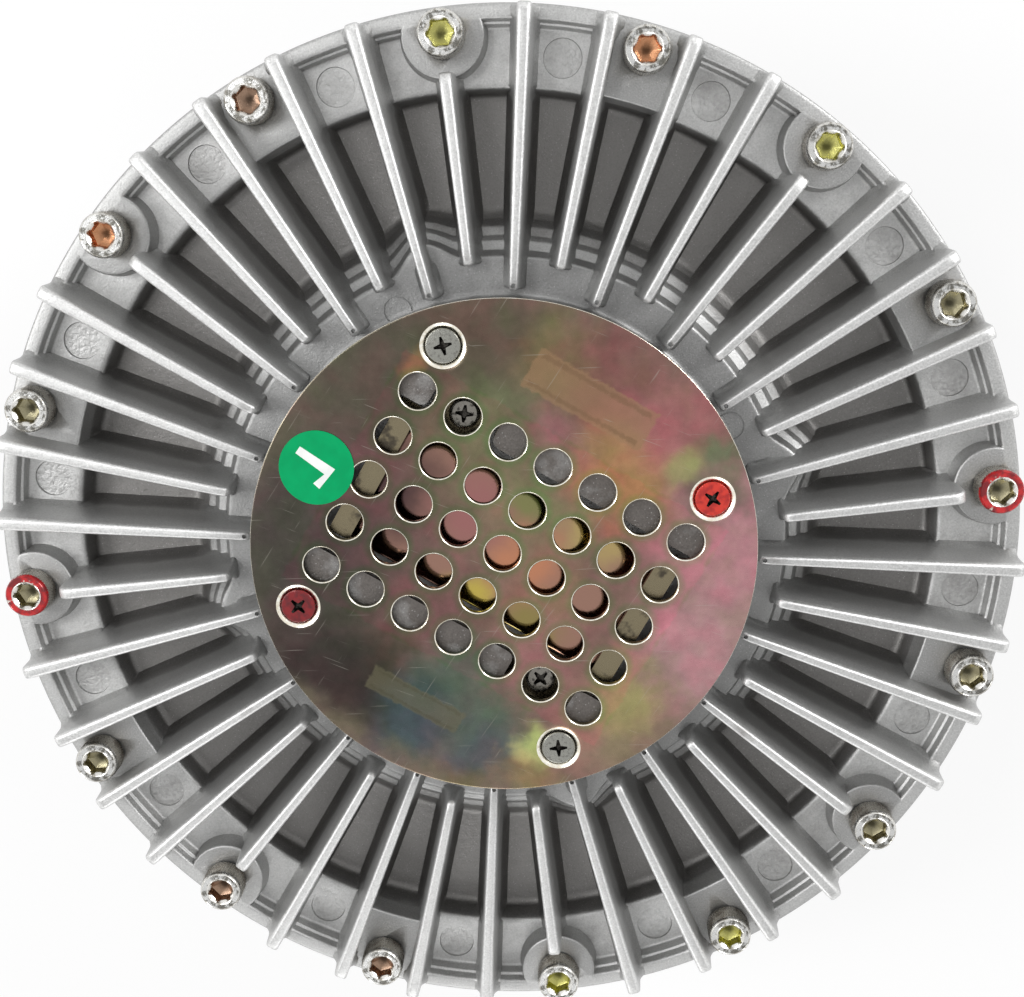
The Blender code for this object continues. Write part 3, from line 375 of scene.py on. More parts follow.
class Look:
    """A node material, with short ways to add the nodes that the finishes need."""

    def __init__(self, name, metallic=1.0):
        self.material = bpy.data.materials.new(name)
        self.material.use_nodes = True
        self.tree = self.material.node_tree
        self.shader = self.tree.nodes["Principled BSDF"]
        self.set(Metallic=metallic)
        self.place = self.add("ShaderNodeTexCoord").outputs["Object"]

    def add(self, kind, *values, **settings):
        """Add a node. Its sockets take the values in turn, and None leaves one as it is."""
        node = self.tree.nodes.new(kind)
        for name, setting in settings.items():
            setattr(node, name, setting)
        for socket, value in zip(node.inputs, values):
            self.feed(socket, value)
        return node

    def feed(self, socket, value):
        if value is None:
            return
        if isinstance(value, bpy.types.NodeSocket):
            self.tree.links.new(value, socket)
        elif socket.type == "RGBA" and len(value) == 3:
            socket.default_value = (*value, 1.0)
        else:
            socket.default_value = value

    def set(self, **values):
        for name, value in values.items():
            self.feed(self.shader.inputs[name.replace("_", " ")], value)

    def maths(self, operation, *values):
        return self.add("ShaderNodeMath", *values, operation=operation).outputs[0]

    def times(self, first, second):
        return self.maths("MULTIPLY", first, second)

    def plus(self, first, second):
        return self.maths("ADD", first, second)

    def vector(self, operation, *values):
        return self.add("ShaderNodeVectorMath", *values, operation=operation).outputs[0]

    def length(self, operation, *values):
        return self.add("ShaderNodeVectorMath", *values, operation=operation).outputs["Value"]

    def noise(self, size, detail=2.0, roughness=0.5, place=None, output=0):
        """Soft noise whose blobs are about this many metres across."""
        node = self.add("ShaderNodeTexNoise", place or self.place, None, 1 / size, detail, roughness)
        return node.outputs[output]

    def spread(self, value, low_in, high_in, low_out=0.0, high_out=1.0, smooth=True):
        return self.add("ShaderNodeMapRange", value, low_in, high_in, low_out, high_out,
                        interpolation_type="SMOOTHSTEP" if smooth else "LINEAR").outputs[0]

    def mix(self, share, first, second, blend="MIX"):
        unused = [None] * 5
        return self.add("ShaderNodeMix", share, *unused, first, second, data_type="RGBA",
                        blend_type=blend).outputs[2]

    def multiplied(self, first, second):
        return self.mix(1.0, first, second, "MULTIPLY")

    def grey(self, level):
        return self.add("ShaderNodeCombineXYZ", level, level, level).outputs[0]

    def part(self, vector, axis):
        return self.add("ShaderNodeSeparateXYZ", vector).outputs[axis]

    def ramp(self, value, *stops):
        node = self.add("ShaderNodeValToRGB", value)
        elements = node.color_ramp.elements
        while len(elements) < len(stops):
            elements.new(0.5)
        for element, (at, colour) in zip(elements, stops):
            element.position = at
            element.color = (*colour, 1.0)
        return node.outputs[0]

    def bump(self, height, strength, distance, under=None):
        node = self.add("ShaderNodeBump", strength, distance)
        self.feed(node.inputs["Height"], height)
        self.feed(node.inputs["Normal"], under)
        return node.outputs[0]

    def from_axis(self):
        """Distance from the object's own axis."""
        return self.length("LENGTH", self.vector("MULTIPLY", self.place, (1.0, 1.0, 0.0)))

    def turned(self, place, angle):
        """A place turned round the axis."""
        turn = self.add("ShaderNodeVectorRotate", place, rotation_type="Z_AXIS")
        turn.inputs["Angle"].default_value = angle
        return turn.outputs[0]

    def stretched(self, angle, share):
        """The object's own place, drawn out along one direction."""
        return self.vector("MULTIPLY", self.turned(self.place, angle), (share, 1.0, 1.0))

    def clouded(self, base, clouds, size, reach):
        """Soft patches of colour over a base colour, their outlines drawn out by noise of one size."""
        offset = self.vector("SUBTRACT", self.noise(size, 4.0, 0.55, output=1), (0.5, 0.5, 0.5))
        offset = self.vector("MULTIPLY", offset, (reach, reach, 0.0))
        flat = self.vector("MULTIPLY", self.place, (1.0, 1.0, 0.0))
        warped = self.vector("ADD", flat, offset)
        colour = base
        for x, y, radius, tint, strength in clouds:
            away = self.length("DISTANCE", warped, (x * MM, y * MM, 0.0))
            share = self.spread(away, radius * MM * CLOUD_CORE, radius * MM, strength, 0.0)
            colour = self.mix(share, colour, tint)
        return colour

    def finish(self, colour, grain, rough, bump):
        """Roughness between two values and a bump of some strength and distance, both by one grain."""
        self.set(Base_Color=colour, Roughness=self.spread(grain, 0.3, 0.7, *rough),
                 Normal=self.bump(grain, *bump))
        return self.material


def dimmed(colour, share):
    return tuple(part * share for part in colour)


def cast_look(name, floor_z, crest_z, tones, hub_painted_shade=1.0, relief=0.35, grain_size=0.00040, paint_crest_and_ledge_light=False):
    """Shot blasted aluminium: fine grain, soft blotches, light flecks painted as glints, and darker towards
    the channel floors, in part as painted shade. The hub and the shoulder round it can be dimmed as painted
    shade. On request the crests get a painted highlight on their rounded edges and painted shade on their
    flat tops, and the upward ledges get painted shade.
    """
    look = Look(name, metallic=0.85)
    grain = look.noise(grain_size, 3.0, 0.6)
    blotch = look.noise(0.011, 4.0, 0.6)
    radius = look.from_axis()
    level = look.spread(look.part(look.place, 2), floor_z, crest_z, smooth=False)
    drift = look.times(look.maths("SUBTRACT", blotch, 0.5), 0.22)
    colour = look.ramp(look.plus(level, drift), *tones)
    # painted shade: the hub face under the sheet and the shoulder and stair round it are dimmed by the
    # share given
    shade = look.times(look.spread(grain, 0.30, 0.70, 0.80, 1.18, smooth=False),
                       look.spread(radius, HUB_R, STAIR_END_R, hub_painted_shade, 1.0))
    if paint_crest_and_ledge_light:
        # painted highlight on the rounded edges of the fin crests, painted shade on their flat tops
        rise = look.part(look.add("ShaderNodeTexCoord").outputs["Normal"], 2)
        on_crest = look.spread(level, 0.80, 0.84)
        crest_painted_light = look.spread(rise, 0.90, 0.995, 0.22, -0.16)
        shade = look.times(shade, look.maths("MULTIPLY_ADD", on_crest, crest_painted_light, 1.0))
        # painted shade on the upward faces of the shoulder and the seats, less of it on the rim
        ledge_painted_shade = look.times(look.spread(level, 0.44, 0.48), look.spread(level, 0.56, 0.60, 1.0, 0.0))
        ledge_painted_shade = look.times(ledge_painted_shade, look.spread(rise, 0.85, 0.97))
        tone = look.spread(radius, RIM_IN_R - 0.0003, RIM_IN_R + 0.0003, -0.32, -0.10)
        shade = look.times(shade, look.maths("MULTIPLY_ADD", ledge_painted_shade, tone, 1.0))
        colour = look.mix(look.spread(radius, RIM_R - 0.0008, RIM_R - 0.0003), colour, (0.45, 0.45, 0.445))
    colour = look.multiplied(colour, look.grey(shade))
    # light flecks over the grain, painted glints of the blasted surface
    painted_glints = look.add("ShaderNodeTexVoronoi", look.place, None, 1 / 0.0009).outputs["Distance"]
    colour = look.mix(look.spread(painted_glints, 0.04, 0.20, 0.30, 0.0), colour, (0.74, 0.74, 0.73))
    normal = look.bump(grain, relief, 0.00025)
    normal = look.bump(look.noise(0.0026), 0.20, 0.0005, normal)
    look.set(Base_Color=colour, Roughness=look.spread(grain, 0.3, 0.7, 0.40, 0.56), Normal=normal)
    return look.material


def steel_look(name, colour=(0.58, 0.58, 0.57), roughness=0.30, pitch=0.00025):
    """Turned steel with fine circular marks and a few stains."""
    look = Look(name)
    stain = look.noise(0.006, 4.0, 0.65)
    along = look.plus(look.from_axis(), look.part(look.place, 2))
    marks = look.add("ShaderNodeTexNoise", None, along, 1 / pitch, 2.0, noise_dimensions="1D").outputs[0]
    look.set(Base_Color=look.mix(look.spread(stain, 0.35, 0.75), colour, dimmed(colour, 0.72)),
             Roughness=look.spread(stain, 0.3, 0.7, roughness * 0.8, roughness * 1.35),
             Normal=look.bump(marks, 0.35, 0.0001))
    return look.material


def zinc_look(name, bright, stain, size=0.0014, covered=0.5, roughness=0.26):
    """Plated steel: bright zinc with stained patches of about the given size."""
    look = Look(name)
    cloud = look.noise(size, 3.0, 0.6)
    colour = look.mix(look.spread(cloud, 0.86 - covered * 0.7, 1.0 - covered * 0.7), bright, stain)
    return look.finish(colour, look.noise(0.00025), (roughness * 0.75, roughness * 1.4), (0.25, 0.0001))


def socket_look(name, tint):
    """The floor of a hexagon recess, darker in its middle as painted shade."""
    look = Look(name)
    away = look.plus(look.from_axis(), look.times(look.noise(0.0012, 3.0), 0.0012))
    colour = look.mix(look.spread(away, 0.0008, 0.0027), dimmed(tint, 0.16), dimmed(tint, 0.85))
    return look.finish(colour, look.noise(0.0004), (0.26, 0.42), (0.3, 0.0001))


def paint_look(name, thin, thick, bare):
    """Thick inspection paint, brushed on, that leaves some metal bare."""
    look = Look(name)
    covered = look.spread(look.noise(0.0019), bare, bare + 0.05)
    beside = look.vector("ADD", look.place, (0.1, 0.2, 0.0))
    pool = look.spread(look.noise(0.0016, place=beside), 0.38, 0.66)
    look.set(Base_Color=look.mix(covered, (0.52, 0.46, 0.42), look.mix(pool, thin, thick)),
             Metallic=look.spread(covered, 0.0, 1.0, 0.95, 0.10, smooth=False),
             Roughness=look.spread(pool, 0.0, 1.0, 0.20, 0.32),
             Normal=look.bump(look.plus(covered, pool), 0.4, 0.00008))
    return look.material


def film_look(name, colour):
    """Printed sticker film with a slight orange peel."""
    look = Look(name, metallic=0.0)
    look.set(Specular_IOR_Level=0.12)
    tone = look.mix(look.spread(look.noise(0.004), 0.3, 0.7), colour, dimmed(colour, 0.88))
    return look.finish(tone, look.noise(0.0009), (0.304, 0.456), (0.15, 0.0001))


def rubber_look(name):
    look = Look(name, metallic=0.0)
    fine = look.noise(0.0006, 3.0)
    colour = look.mix(fine, (0.018, 0.018, 0.019), (0.05, 0.05, 0.05))
    return look.finish(colour, fine, (0.55, 0.8), (0.3, 0.0001))


def bare_edge_highlight_look(name):
    """Bare metal on the sheared and dished edges of the sheet, brightened further as a painted highlight.
    """
    look = Look(name)
    fine = look.noise(0.0007, 3.0)
    colour = look.mix(look.spread(fine, 0.35, 0.70), (0.90, 0.88, 0.80), (0.68, 0.62, 0.50))
    return look.finish(colour, fine, (0.18, 0.34), (0.2, 0.00008))


def strip_look(name):
    """Rolled bimetal with a mirror-like face, from dark mauve over salmon to straw and olive."""
    look = Look(name)
    colour = look.clouded((0.30, 0.17, 0.13), STRIP_CLOUDS, 0.008, 0.010)
    lines = look.noise(0.00030, 3.0, place=look.stretched(0.0, 0.03))
    return look.finish(colour, lines, (0.09, 0.16), (0.10, 0.00005))


# greys of the castings, from the deepest surface to the highest; the darker deep greys are in part painted
# shade of the channels, and the cover's last stop is painted shade on the hub face under the sheet
COVER_TONES = ((0.0, (0.215, 0.209, 0.202)), (0.20, (0.28, 0.275, 0.27)), (0.29, (0.46, 0.46, 0.455)),
               (0.50, (0.45, 0.45, 0.445)), (0.93, (0.58, 0.58, 0.575)), (1.0, (0.19, 0.172, 0.160)))
REAR_TONES = ((0.0, (0.34, 0.34, 0.335)), (0.5, (0.43, 0.43, 0.425)), (1.0, (0.47, 0.47, 0.465)))

# clouds of the passivation colours on the sheet, lighter towards +x in part as a painted sheen: x, y and
# radius in mm, colour, strength
CLOUDS = (
    (-44, 6, 42, (0.068, 0.060, 0.054), 0.92),
    (-22, 44, 38, (0.085, 0.078, 0.058), 0.85),
    (-29, 19, 16, (0.135, 0.082, 0.078), 0.70),
    (2, 47, 22, (0.105, 0.085, 0.060), 0.75),
    (18, 39, 16, (0.19, 0.155, 0.070), 0.75),
    (30, 36, 18, (0.23, 0.095, 0.090), 0.80),
    (41, 22, 18, (0.37, 0.150, 0.150), 0.85),
    (26, 15, 18, (0.42, 0.225, 0.105), 0.80),
    (15, 24, 12, (0.30, 0.125, 0.150), 0.60),
    (50, -4, 24, (0.48, 0.235, 0.26), 0.90),
    (43, -28, 24, (0.46, 0.26, 0.27), 0.88),
    (22, -42, 20, (0.30, 0.205, 0.145), 0.80),
    (25, -36, 12, (0.38, 0.31, 0.14), 0.70),
    (-2, 24, 20, (0.160, 0.180, 0.095), 0.80),
    (8, 6, 18, (0.20, 0.205, 0.110), 0.75),
    (8, -12, 14, (0.28, 0.19, 0.12), 0.60),
    (5, -26, 15, (0.29, 0.165, 0.150), 0.75),
    (-14, -14, 16, (0.155, 0.090, 0.085), 0.70),
    (-31, -24, 14, (0.052, 0.046, 0.032), 0.85),
    (-13, -30, 16, (0.095, 0.130, 0.098), 0.85),
    (-27, -36, 16, (0.056, 0.086, 0.098), 0.90),
    (-10, -44, 13, (0.070, 0.105, 0.110), 0.80),
    (-38.5, -30, 13, (0.036, 0.033, 0.028), 0.80),
    (-44, -20, 18, (0.042, 0.037, 0.033), 0.90),
    (0, -51, 10, (0.24, 0.19, 0.085), 0.75),
    (-14, -53, 8, (0.17, 0.125, 0.065), 0.60),
    (41.5, 13, 7, (0.33, 0.34, 0.14), 0.70),
    (50, 16, 7, (0.13, 0.19, 0.10), 0.75),
    (1, -44, 7, (0.55, 0.56, 0.22), 0.75),
    (-13, 45.5, 6, (0.30, 0.17, 0.085), 0.70),
    (47, 6, 8.5, (0.105, 0.120, 0.080), 0.80),
)
# drift of the film from green to pink, which the tones above are multiplied by
HUES = ((0.34, (0.70, 0.79, 0.70)), (0.50, (0.77, 0.77, 0.77)), (0.66, (0.86, 0.72, 0.775)))
# tint of the film from the edge of a hole outwards
HALO = ((0.10, (0.80, 1.02, 0.76)), (0.42, (0.88, 1.00, 0.84)), (0.75, (1.16, 0.94, 1.02)))
HALO_W = 0.0036
# bare etched places: x, y, half length, half width, colour
ETCHED = (
    (0.0226, 0.0316, 0.0145, 0.0046, (0.30, 0.185, 0.105)),
    (-0.0236, -0.0316, 0.0115, 0.0028, (0.13, 0.12, 0.075)),
)
# directions and sizes of the scratches
SCRATCHES = ((radians(28), 0.00030), (radians(-50), 0.00038), (radians(5), 0.00045))
# tints of the strip, in its own frame, as the clouds above
STRIP_CLOUDS = (
    (-30, 0, 20, (0.060, 0.036, 0.040), 0.90),
    (-10, 4, 13, (0.32, 0.135, 0.135), 0.85),
    (6, -1, 13, (0.50, 0.215, 0.12), 0.88),
    (16, 13, 12, (0.42, 0.33, 0.13), 0.88),
    (0, 13, 9, (0.19, 0.21, 0.08), 0.85),
    (-1, -13, 9, (0.50, 0.40, 0.08), 0.88),
    (14, -14, 12, (0.25, 0.21, 0.07), 0.88),
)


def etched_share(look, x, y, half_l, half_w):
    """1 inside a rectangle that lies along the rows of holes, with a ragged edge."""
    from_middle = look.vector("SUBTRACT", look.place, (x, y, 0.0))
    away = look.vector("ABSOLUTE", look.turned(from_middle, -TURN))
    past = look.maths("MAXIMUM", look.maths("SUBTRACT", look.part(away, 0), half_l),
                      look.maths("SUBTRACT", look.part(away, 1), half_w))
    ragged = look.times(look.maths("SUBTRACT", look.noise(0.0012, 3.0), 0.5), 0.0016)
    return look.spread(look.plus(past, ragged), -0.0004, 0.0003, 1.0, 0.0)


def from_hole(look):
    """Distance from the middle of the nearest hole of an endless grid."""
    cells = look.vector("MULTIPLY", look.turned(look.place, -TURN), (1 / HOLE_PITCH,) * 3)
    share = look.vector("FRACTION", look.vector("ADD", cells, (0.5, 0.5, 0.0)))
    flat = look.vector("MULTIPLY", look.vector("SUBTRACT", share, (0.5, 0.5, 0.0)), (1.0, 1.0, 0.0))
    return look.times(look.length("LENGTH", flat), HOLE_PITCH)


def sheet_look(name):
    """Yellow passivated zinc sheet: drifting interference colours with a painted sheen among them,
    scratches and rubbed places.
    """
    look = Look(name)
    colour = look.clouded((0.19, 0.14, 0.11), CLOUDS, 0.016, 0.022)
    colour = look.multiplied(colour, look.ramp(look.noise(0.0080), *HUES))
    reach = [(count + 0.2) * HOLE_PITCH / 2 for count in (HOLES_LONG, HOLES_WIDE)]
    grid = etched_share(look, 0.0, 0.0, *reach)
    away = look.plus(from_hole(look), look.times(look.noise(0.0030), 0.0014))
    halo = look.ramp(look.spread(away, HOLE_R, HOLE_R + HALO_W, smooth=False), *HALO)
    colour = look.mix(grid, colour, look.multiplied(colour, halo))
    shade = look.spread(look.noise(0.0045, 4.0, 0.6), 0.30, 0.70, 1.04, 1.39, smooth=False)
    colour = look.multiplied(colour, look.grey(shade))
    for x, y, half_l, half_w, tint in ETCHED:
        colour = look.mix(look.times(etched_share(look, x, y, half_l, half_w), 0.60), colour, tint)
        for side in (-1, 1):
            rise = side * half_w * 0.72
            middle = (x - rise * sin(TURN), y + rise * cos(TURN))
            bar = etched_share(look, *middle, half_l * 0.92, half_w * 0.12)
            colour = look.mix(look.times(bar, 0.45), colour, dimmed(tint, 0.55))
    lines = 0.0
    for turn, size in SCRATCHES:
        scratch = look.noise(size, 1.0, place=look.stretched(turn, 0.035))
        lines = look.maths("MAXIMUM", lines, look.spread(scratch, 0.73, 0.80))
    colour = look.mix(look.times(lines, 0.28), colour, (0.46, 0.43, 0.38))
    rough = look.spread(look.noise(0.0016, 3.0, 0.6), 0.3, 0.7, 0.24, 0.30)
    normal = look.bump(lines, 0.15, 0.00005)
    normal = look.bump(look.noise(0.014), 0.22, 0.0004, normal)
    look.set(Base_Color=colour, Roughness=rough, Normal=normal)
    return look.material


# the cover's outside as an (r, z) profile from the axis to the joint
SURFACE = softened([
    (0.0, HUB_Z), (HUB_R, HUB_Z, 0.0006), (HUB_R + 0.0005, SHOULDER_Z, 0.0016),
    (SHOULDER_R, SHOULDER_Z, 0.0013),
    *((SHOULDER_R + out, SHOULDER_Z - drop, rounding) for out, drop, rounding in STAIR),
    (STAIR_END_R, FLOOR_Z, 0.0030), (FLOOR_OUT_R, FLOOR_Z, 0.0020), (FLOOR_OUT_R + 0.0008, LAND_Z, 0.0014),
    (LAND_OUT_R, LAND_Z, 0.0008), (LAND_OUT_R + 0.00025, LAND_Z + 0.0026, 0.0005),
    (LAND_OUT_R + 0.00085, LAND_Z + 0.0029, 0.0005), (RIM_IN_R, SEAT_Z, 0.0008), (RIM_R, SEAT_Z, 0.0010),
    (RIM_R, JOINT_Z),
])
# its inside, hollow for the rotor and the fluid's reservoir
INSIDE = [
    (CHAMBER_R, JOINT_Z), (CHAMBER_R, CHAMBER_Z), (LEDGE_R, CHAMBER_Z), (LEDGE_R, LEDGE_Z),
    (RESERVOIR_R, LEDGE_Z), (RESERVOIR_R, RESERVOIR_Z), (CAVITY_R, RESERVOIR_Z), (CAVITY_R, CAVITY_ROOF_Z),
    (PIN_BOSS_R, CAVITY_ROOF_Z), (PIN_BOSS_R, PIN_BOSS_END), (0.0, PIN_BOSS_END),
]


def surface_height(radius):
    """Height of the cover's turned surface, the lower one at a wall."""
    for (r0, z0), (r1, z1) in zip(SURFACE, SURFACE[1:]):
        if r0 <= radius <= r1 and r1 > r0:
            return z0 + (z1 - z0) * (radius - r0) / (r1 - r0)
    return SEAT_Z


def surface_distance(radius, z):
    """How far a point is from the turned surface."""
    best = 1.0
    for (r0, z0), (r1, z1) in zip(SURFACE, SURFACE[1:]):
        run, rise = r1 - r0, z1 - z0
        square = run * run + rise * rise
        share = ((radius - r0) * run + (z - z0) * rise) / square if square else 0.0
        share = min(1.0, max(0.0, share))
        best = min(best, hypot(radius - r0 - run * share, z - z0 - rise * share))
    return best


def fillet(distance):
    """How much wider a wall gets as it nears the surface that it stands on."""
    return FILLET_W * max(0.0, 1 - distance / FILLET_REACH) ** 2


def fin_stations(inner, outer, corner):
    """Radius, crest height and half thickness along a fin, whose inner end is the rounder one."""
    round_in = FIN_T_IN / 2
    quarter = [pi / 2 * i / FIN_END_STEPS for i in range(FIN_END_STEPS + 1)]
    first, final = inner + round_in, outer - FIN_END_ROUND
    count = max(2, round((outer - inner) / FIN_STEP))
    radii = [inner + round_in * (1 - cos(angle)) for angle in quarter[:-1]]
    radii += [first + (final - first) * i / count for i in range(count + 1)]
    radii += [final + FIN_END_ROUND * sin(angle) for angle in quarter[1:]]
    stations = []
    for radius in radii:
        share = (radius - FIN_LONG_R) / (FIN_OUT_R - FIN_LONG_R)
        half = (FIN_T_IN + (FIN_T_OUT - FIN_T_IN) * share) / 2
        crest = FLOOR_Z + FIN_RISE_IN + (FIN_RISE_OUT - FIN_RISE_IN) * share
        for end, edge, size in ((inner, round_in, FIN_T_IN), (outer, FIN_END_ROUND, corner)):
            near = abs(radius - end)
            if near < edge:
                half = max(FIN_TIP, half - edge * (1 - sqrt(max(0.0, 1 - (1 - near / edge) ** 2))))
            if near < size:
                crest -= size - sqrt(size * size - (size - near) ** 2)
        stations.append((radius, crest, half))
    return stations


def fin_section(radius, side, crest):
    """A section of a fin along +X, from its left foot to its right one over the crest."""
    left = [(radius, y, z) for y, z in side]
    right = [(radius, -y, z) for y, z in side[::-1]]
    return [*left, (radius, 0.0, crest), *right]


def fin_sections(inner, outer, corner=FIN_CORNER):
    sections = []
    for radius, crest, half in fin_stations(inner, outer, corner):
        ground = surface_height(radius)
        edge = half * FIN_EDGE_SHARE
        shoulder = crest - edge
        side = []
        for i in range(FIN_LEVELS + 1):
            z = ground - SINK + (shoulder - ground + SINK) * (i / FIN_LEVELS) ** 1.6
            down = (crest - z) / (FIN_RISE_IN + SINK)
            side.append((half + FIN_DRAFT * down + fillet(surface_distance(radius, z)), z))
        for i in range(1, FIN_CROWN + 1):
            angle = pi / 2 * i / FIN_CROWN
            side.append((half - edge + edge * cos(angle), shoulder + edge * sin(angle)))
        sections.append(fin_section(radius, side, crest))
    return sections


def add_turned_stack(mesh, sections, angle):
    add_stack(mesh, [[spun((x, y), angle, z) for x, y, z in section] for section in sections])


def add_fins(mesh):
    """Every second fin is long, and every fifth ends at a boss."""
    kinds = {
        (False, True): fin_sections(FIN_LONG_R, FIN_OUT_R),
        (False, False): fin_sections(FIN_SHORT_R, FIN_OUT_R),
        (True, True): fin_sections(FIN_LONG_R, BOSS_FIN_R, BOSS_FIN_CORNER),
        (True, False): fin_sections(FIN_SHORT_R, BOSS_FIN_R, BOSS_FIN_CORNER),
    }
    for i in range(FINS):
        add_turned_stack(mesh, kinds[(i % FINS_PER_BOSS == 0, i % 2 == 1)], from_top(i, FINS))


def boss_outline(grow):
    """A circle round the screw at +X, cut off by the rim's own circle."""
    radius, limit = BOSS_R + grow, PAD_OUT_R + min(grow, 0.0)
    near = (SCREW_CIRCLE_R ** 2 + limit ** 2 - radius ** 2) / (2 * SCREW_CIRCLE_R * limit)
    meet = acos(near)
    start = atan2(limit * sin(meet), limit * cos(meet) - SCREW_CIRCLE_R)
    points = []
    for i in range(BOSS_STEPS + 1):
        angle = start + (2 * pi - 2 * start) * i / BOSS_STEPS
        points.append((SCREW_CIRCLE_R + radius * cos(angle), radius * sin(angle)))
    rim_steps = BOSS_STEPS // 4
    for i in range(1, rim_steps):
        angle = -meet + 2 * meet * i / rim_steps
        points.append((limit * cos(angle), limit * sin(angle)))
    return points


def pad_outline(grow):
    """The raised sector between two fins under a screw, at +X."""
    inner, outer = PAD_IN_R - grow, PAD_OUT_R + min(grow, 0.0)
    half, steps = pi / FINS, 8
    angles = [-half + 2 * half * i / steps for i in range(steps + 1)]
    rays = [(cos(angle), sin(angle)) for angle in angles]
    return [(inner * x, inner * y) for x, y in rays[::-1]] + [(outer * x, outer * y) for x, y in rays]


def raised_levels():
    """Heights of a seat with how much it grows (+) or shrinks (-) at each."""
    levels = []
    for i in range(6):
        z = LAND_Z - SINK + (FILLET_REACH + SINK) * i / 6
        levels.append((z, fillet(max(0.0, z - LAND_Z)) * BOSS_FOOT / FILLET_W + 0.0001))
    for i in range(5):
        angle = pi / 2 * i / 4
        levels.append((SEAT_Z - BOSS_EDGE + BOSS_EDGE * sin(angle), -BOSS_EDGE * (1 - cos(angle))))
    return levels


def add_seats(mesh, outline, angles):
    for angle in angles:
        add_stack(mesh, [[spun(p, angle, z) for p in outline(grow)] for z, grow in raised_levels()])


def add_bosses(mesh):
    """Round bosses under every second rim screw."""
    add_seats(mesh, boss_outline, RIM_ANGLES[::2])


def add_pads(mesh):
    """Square pads under the other rim screws."""
    add_seats(mesh, pad_outline, RIM_ANGLES[1::2])


def lobe_push(radius, angle):
    """How far the stair swells outwards beside the plate screws."""
    inner = min(1.0, max(0.0, (radius - PLATE_R) / (SHOULDER_R - PLATE_R)))
    outer = min(1.0, max(0.0, (LOBE_FADE_R - radius) / (LOBE_FADE_R - SHOULDER_R)))
    push = 0.0
    for screw in PLATE_ANGLES:
        away = (angle - screw + pi) % (2 * pi) - pi
        if abs(away) < LOBE_HALF_ANGLE:
            push += cos(pi / 2 * away / LOBE_HALF_ANGLE) ** 2
    return LOBE_REACH * push * min(inner, outer)


def add_marks(mesh):
    """Shallow round marks on the land, on both sides of each boss."""
    places = [polar(MARK_AT_R, angle + side * MARK_ANGLE) for angle in RIM_ANGLES[::2] for side in (-1, 1)]
    add_plug(mesh, 40, places, (MARK_R, LAND_Z - MARK_DEPTH), (MARK_R + MARK_DEPTH, LAND_Z + CUT_PAST))


def add_dimples(mesh):
    """A small pin mark on the crest of each long fin, beside the sheet."""
    crest = FLOOR_Z + FIN_RISE_IN
    places = [polar(FIN_LONG_R + DIMPLE_IN, from_top(i, FINS)) for i in range(1, FINS, 2)]
    add_plug(mesh, 16, places, (DIMPLE_R, crest - DIMPLE_DEPTH), (DIMPLE_R, crest + SINK))


def add_rings(mesh):
    """Thin circular witness lines beside the sheet's edge, partly under it."""
    inner, bottom, top = RING_R - RING_W, SHOULDER_Z - RING_DEPTH, SHOULDER_Z + RING_DEPTH
    places = [polar(PLATE_R + RING_OUT, angle) for angle in RING_ANGLES]
    add_lathe(mesh, [(inner, bottom), (RING_R, bottom), (RING_R, top), (inner, top)], 40, places)


def add_pocket(mesh):
    side = [(-POCKET_HALF_L, POCKET_HALF_W), (-BAY_OUT, POCKET_HALF_W), (-BAY_OUT, BAY_REACH)]
    side += [(-BAY_IN, BAY_REACH), (-BAY_IN, POCKET_HALF_W), (POCKET_HALF_L, POCKET_HALF_W)]
    outline = rounded_loop((side + [(-x, -y) for x, y in side])[::-1], POCKET_CORNER)
    add_stack(mesh, [[spun(p, TURN, z) for p in outline] for z in (POCKET_Z, PLATE_TOP)])


def add_drillings(mesh):
    """Holes for the rim screws, the plate screws, the brackets' screws and the pin."""
    rim_r, bracket_r, pin_r, ring_r = 0.0034, 0.0018, 0.0023, 0.0048
    chamfer = ((rim_r, SEAT_Z - 0.0004), (rim_r + 0.0016, SEAT_Z + 0.0012))
    add_plug(mesh, 32, RIM_PLACES, (rim_r, JOINT_Z - SINK), *chamfer)
    add_plug(mesh, 32, PLATE_PLACES, (PLATE_HOLE_R, HUB_Z - 0.0075), (PLATE_HOLE_R, PLATE_TOP))
    places = [polar(BRACKET_SCREW_R, TURN + pi * 0.75 + side * pi) for side in (0, 1)]
    add_plug(mesh, 24, places, (bracket_r, POCKET_Z - 0.0032), (bracket_r, PLATE_TOP))
    ring_z = POCKET_Z - 0.0025
    add_plug(mesh, 32, AXIS, (pin_r, PIN_BOSS_END - CUT_PAST), (pin_r, ring_z), (ring_r, ring_z),
             (ring_r, PLATE_TOP))


def is_mark(face):
    """1 on the rough floors of the round marks."""
    deep = abs(face.center.z - LAND_Z + MARK_DEPTH) < MARK_DEPTH / 4
    return int(deep and abs(hypot(face.center.x, face.center.y) - MARK_AT_R) < MARK_R)


def cover_casting(looks):
    """The finned cover as one casting."""
    cover = shaped("cover_casting", smooth=COVER_SMOOTH,
                   make=lambda mesh: add_lathe(mesh, SURFACE + INSIDE, COVER_SIDES, push=lobe_push))
    cut_or_join(cover, "UNION", add_fins, add_bosses, add_pads, smooth=COVER_SMOOTH)
    cut_or_join(cover, "DIFFERENCE", add_marks, add_rings, add_dimples, add_pocket, add_drillings,
                smooth=COVER_SMOOTH)
    marked = [is_mark(face) for face in cover.data.polygons]
    dress(cover, "casing", "cast_aluminium", looks, "front_cover", parts=marked)


def hole_places():
    for i in range(HOLES_LONG):
        for j in range(HOLES_WIDE):
            x = (i - (HOLES_LONG - 1) / 2) * HOLE_PITCH
            y = (j - (HOLES_WIDE - 1) / 2) * HOLE_PITCH
            yield spun((x, y), TURN, 0.0)


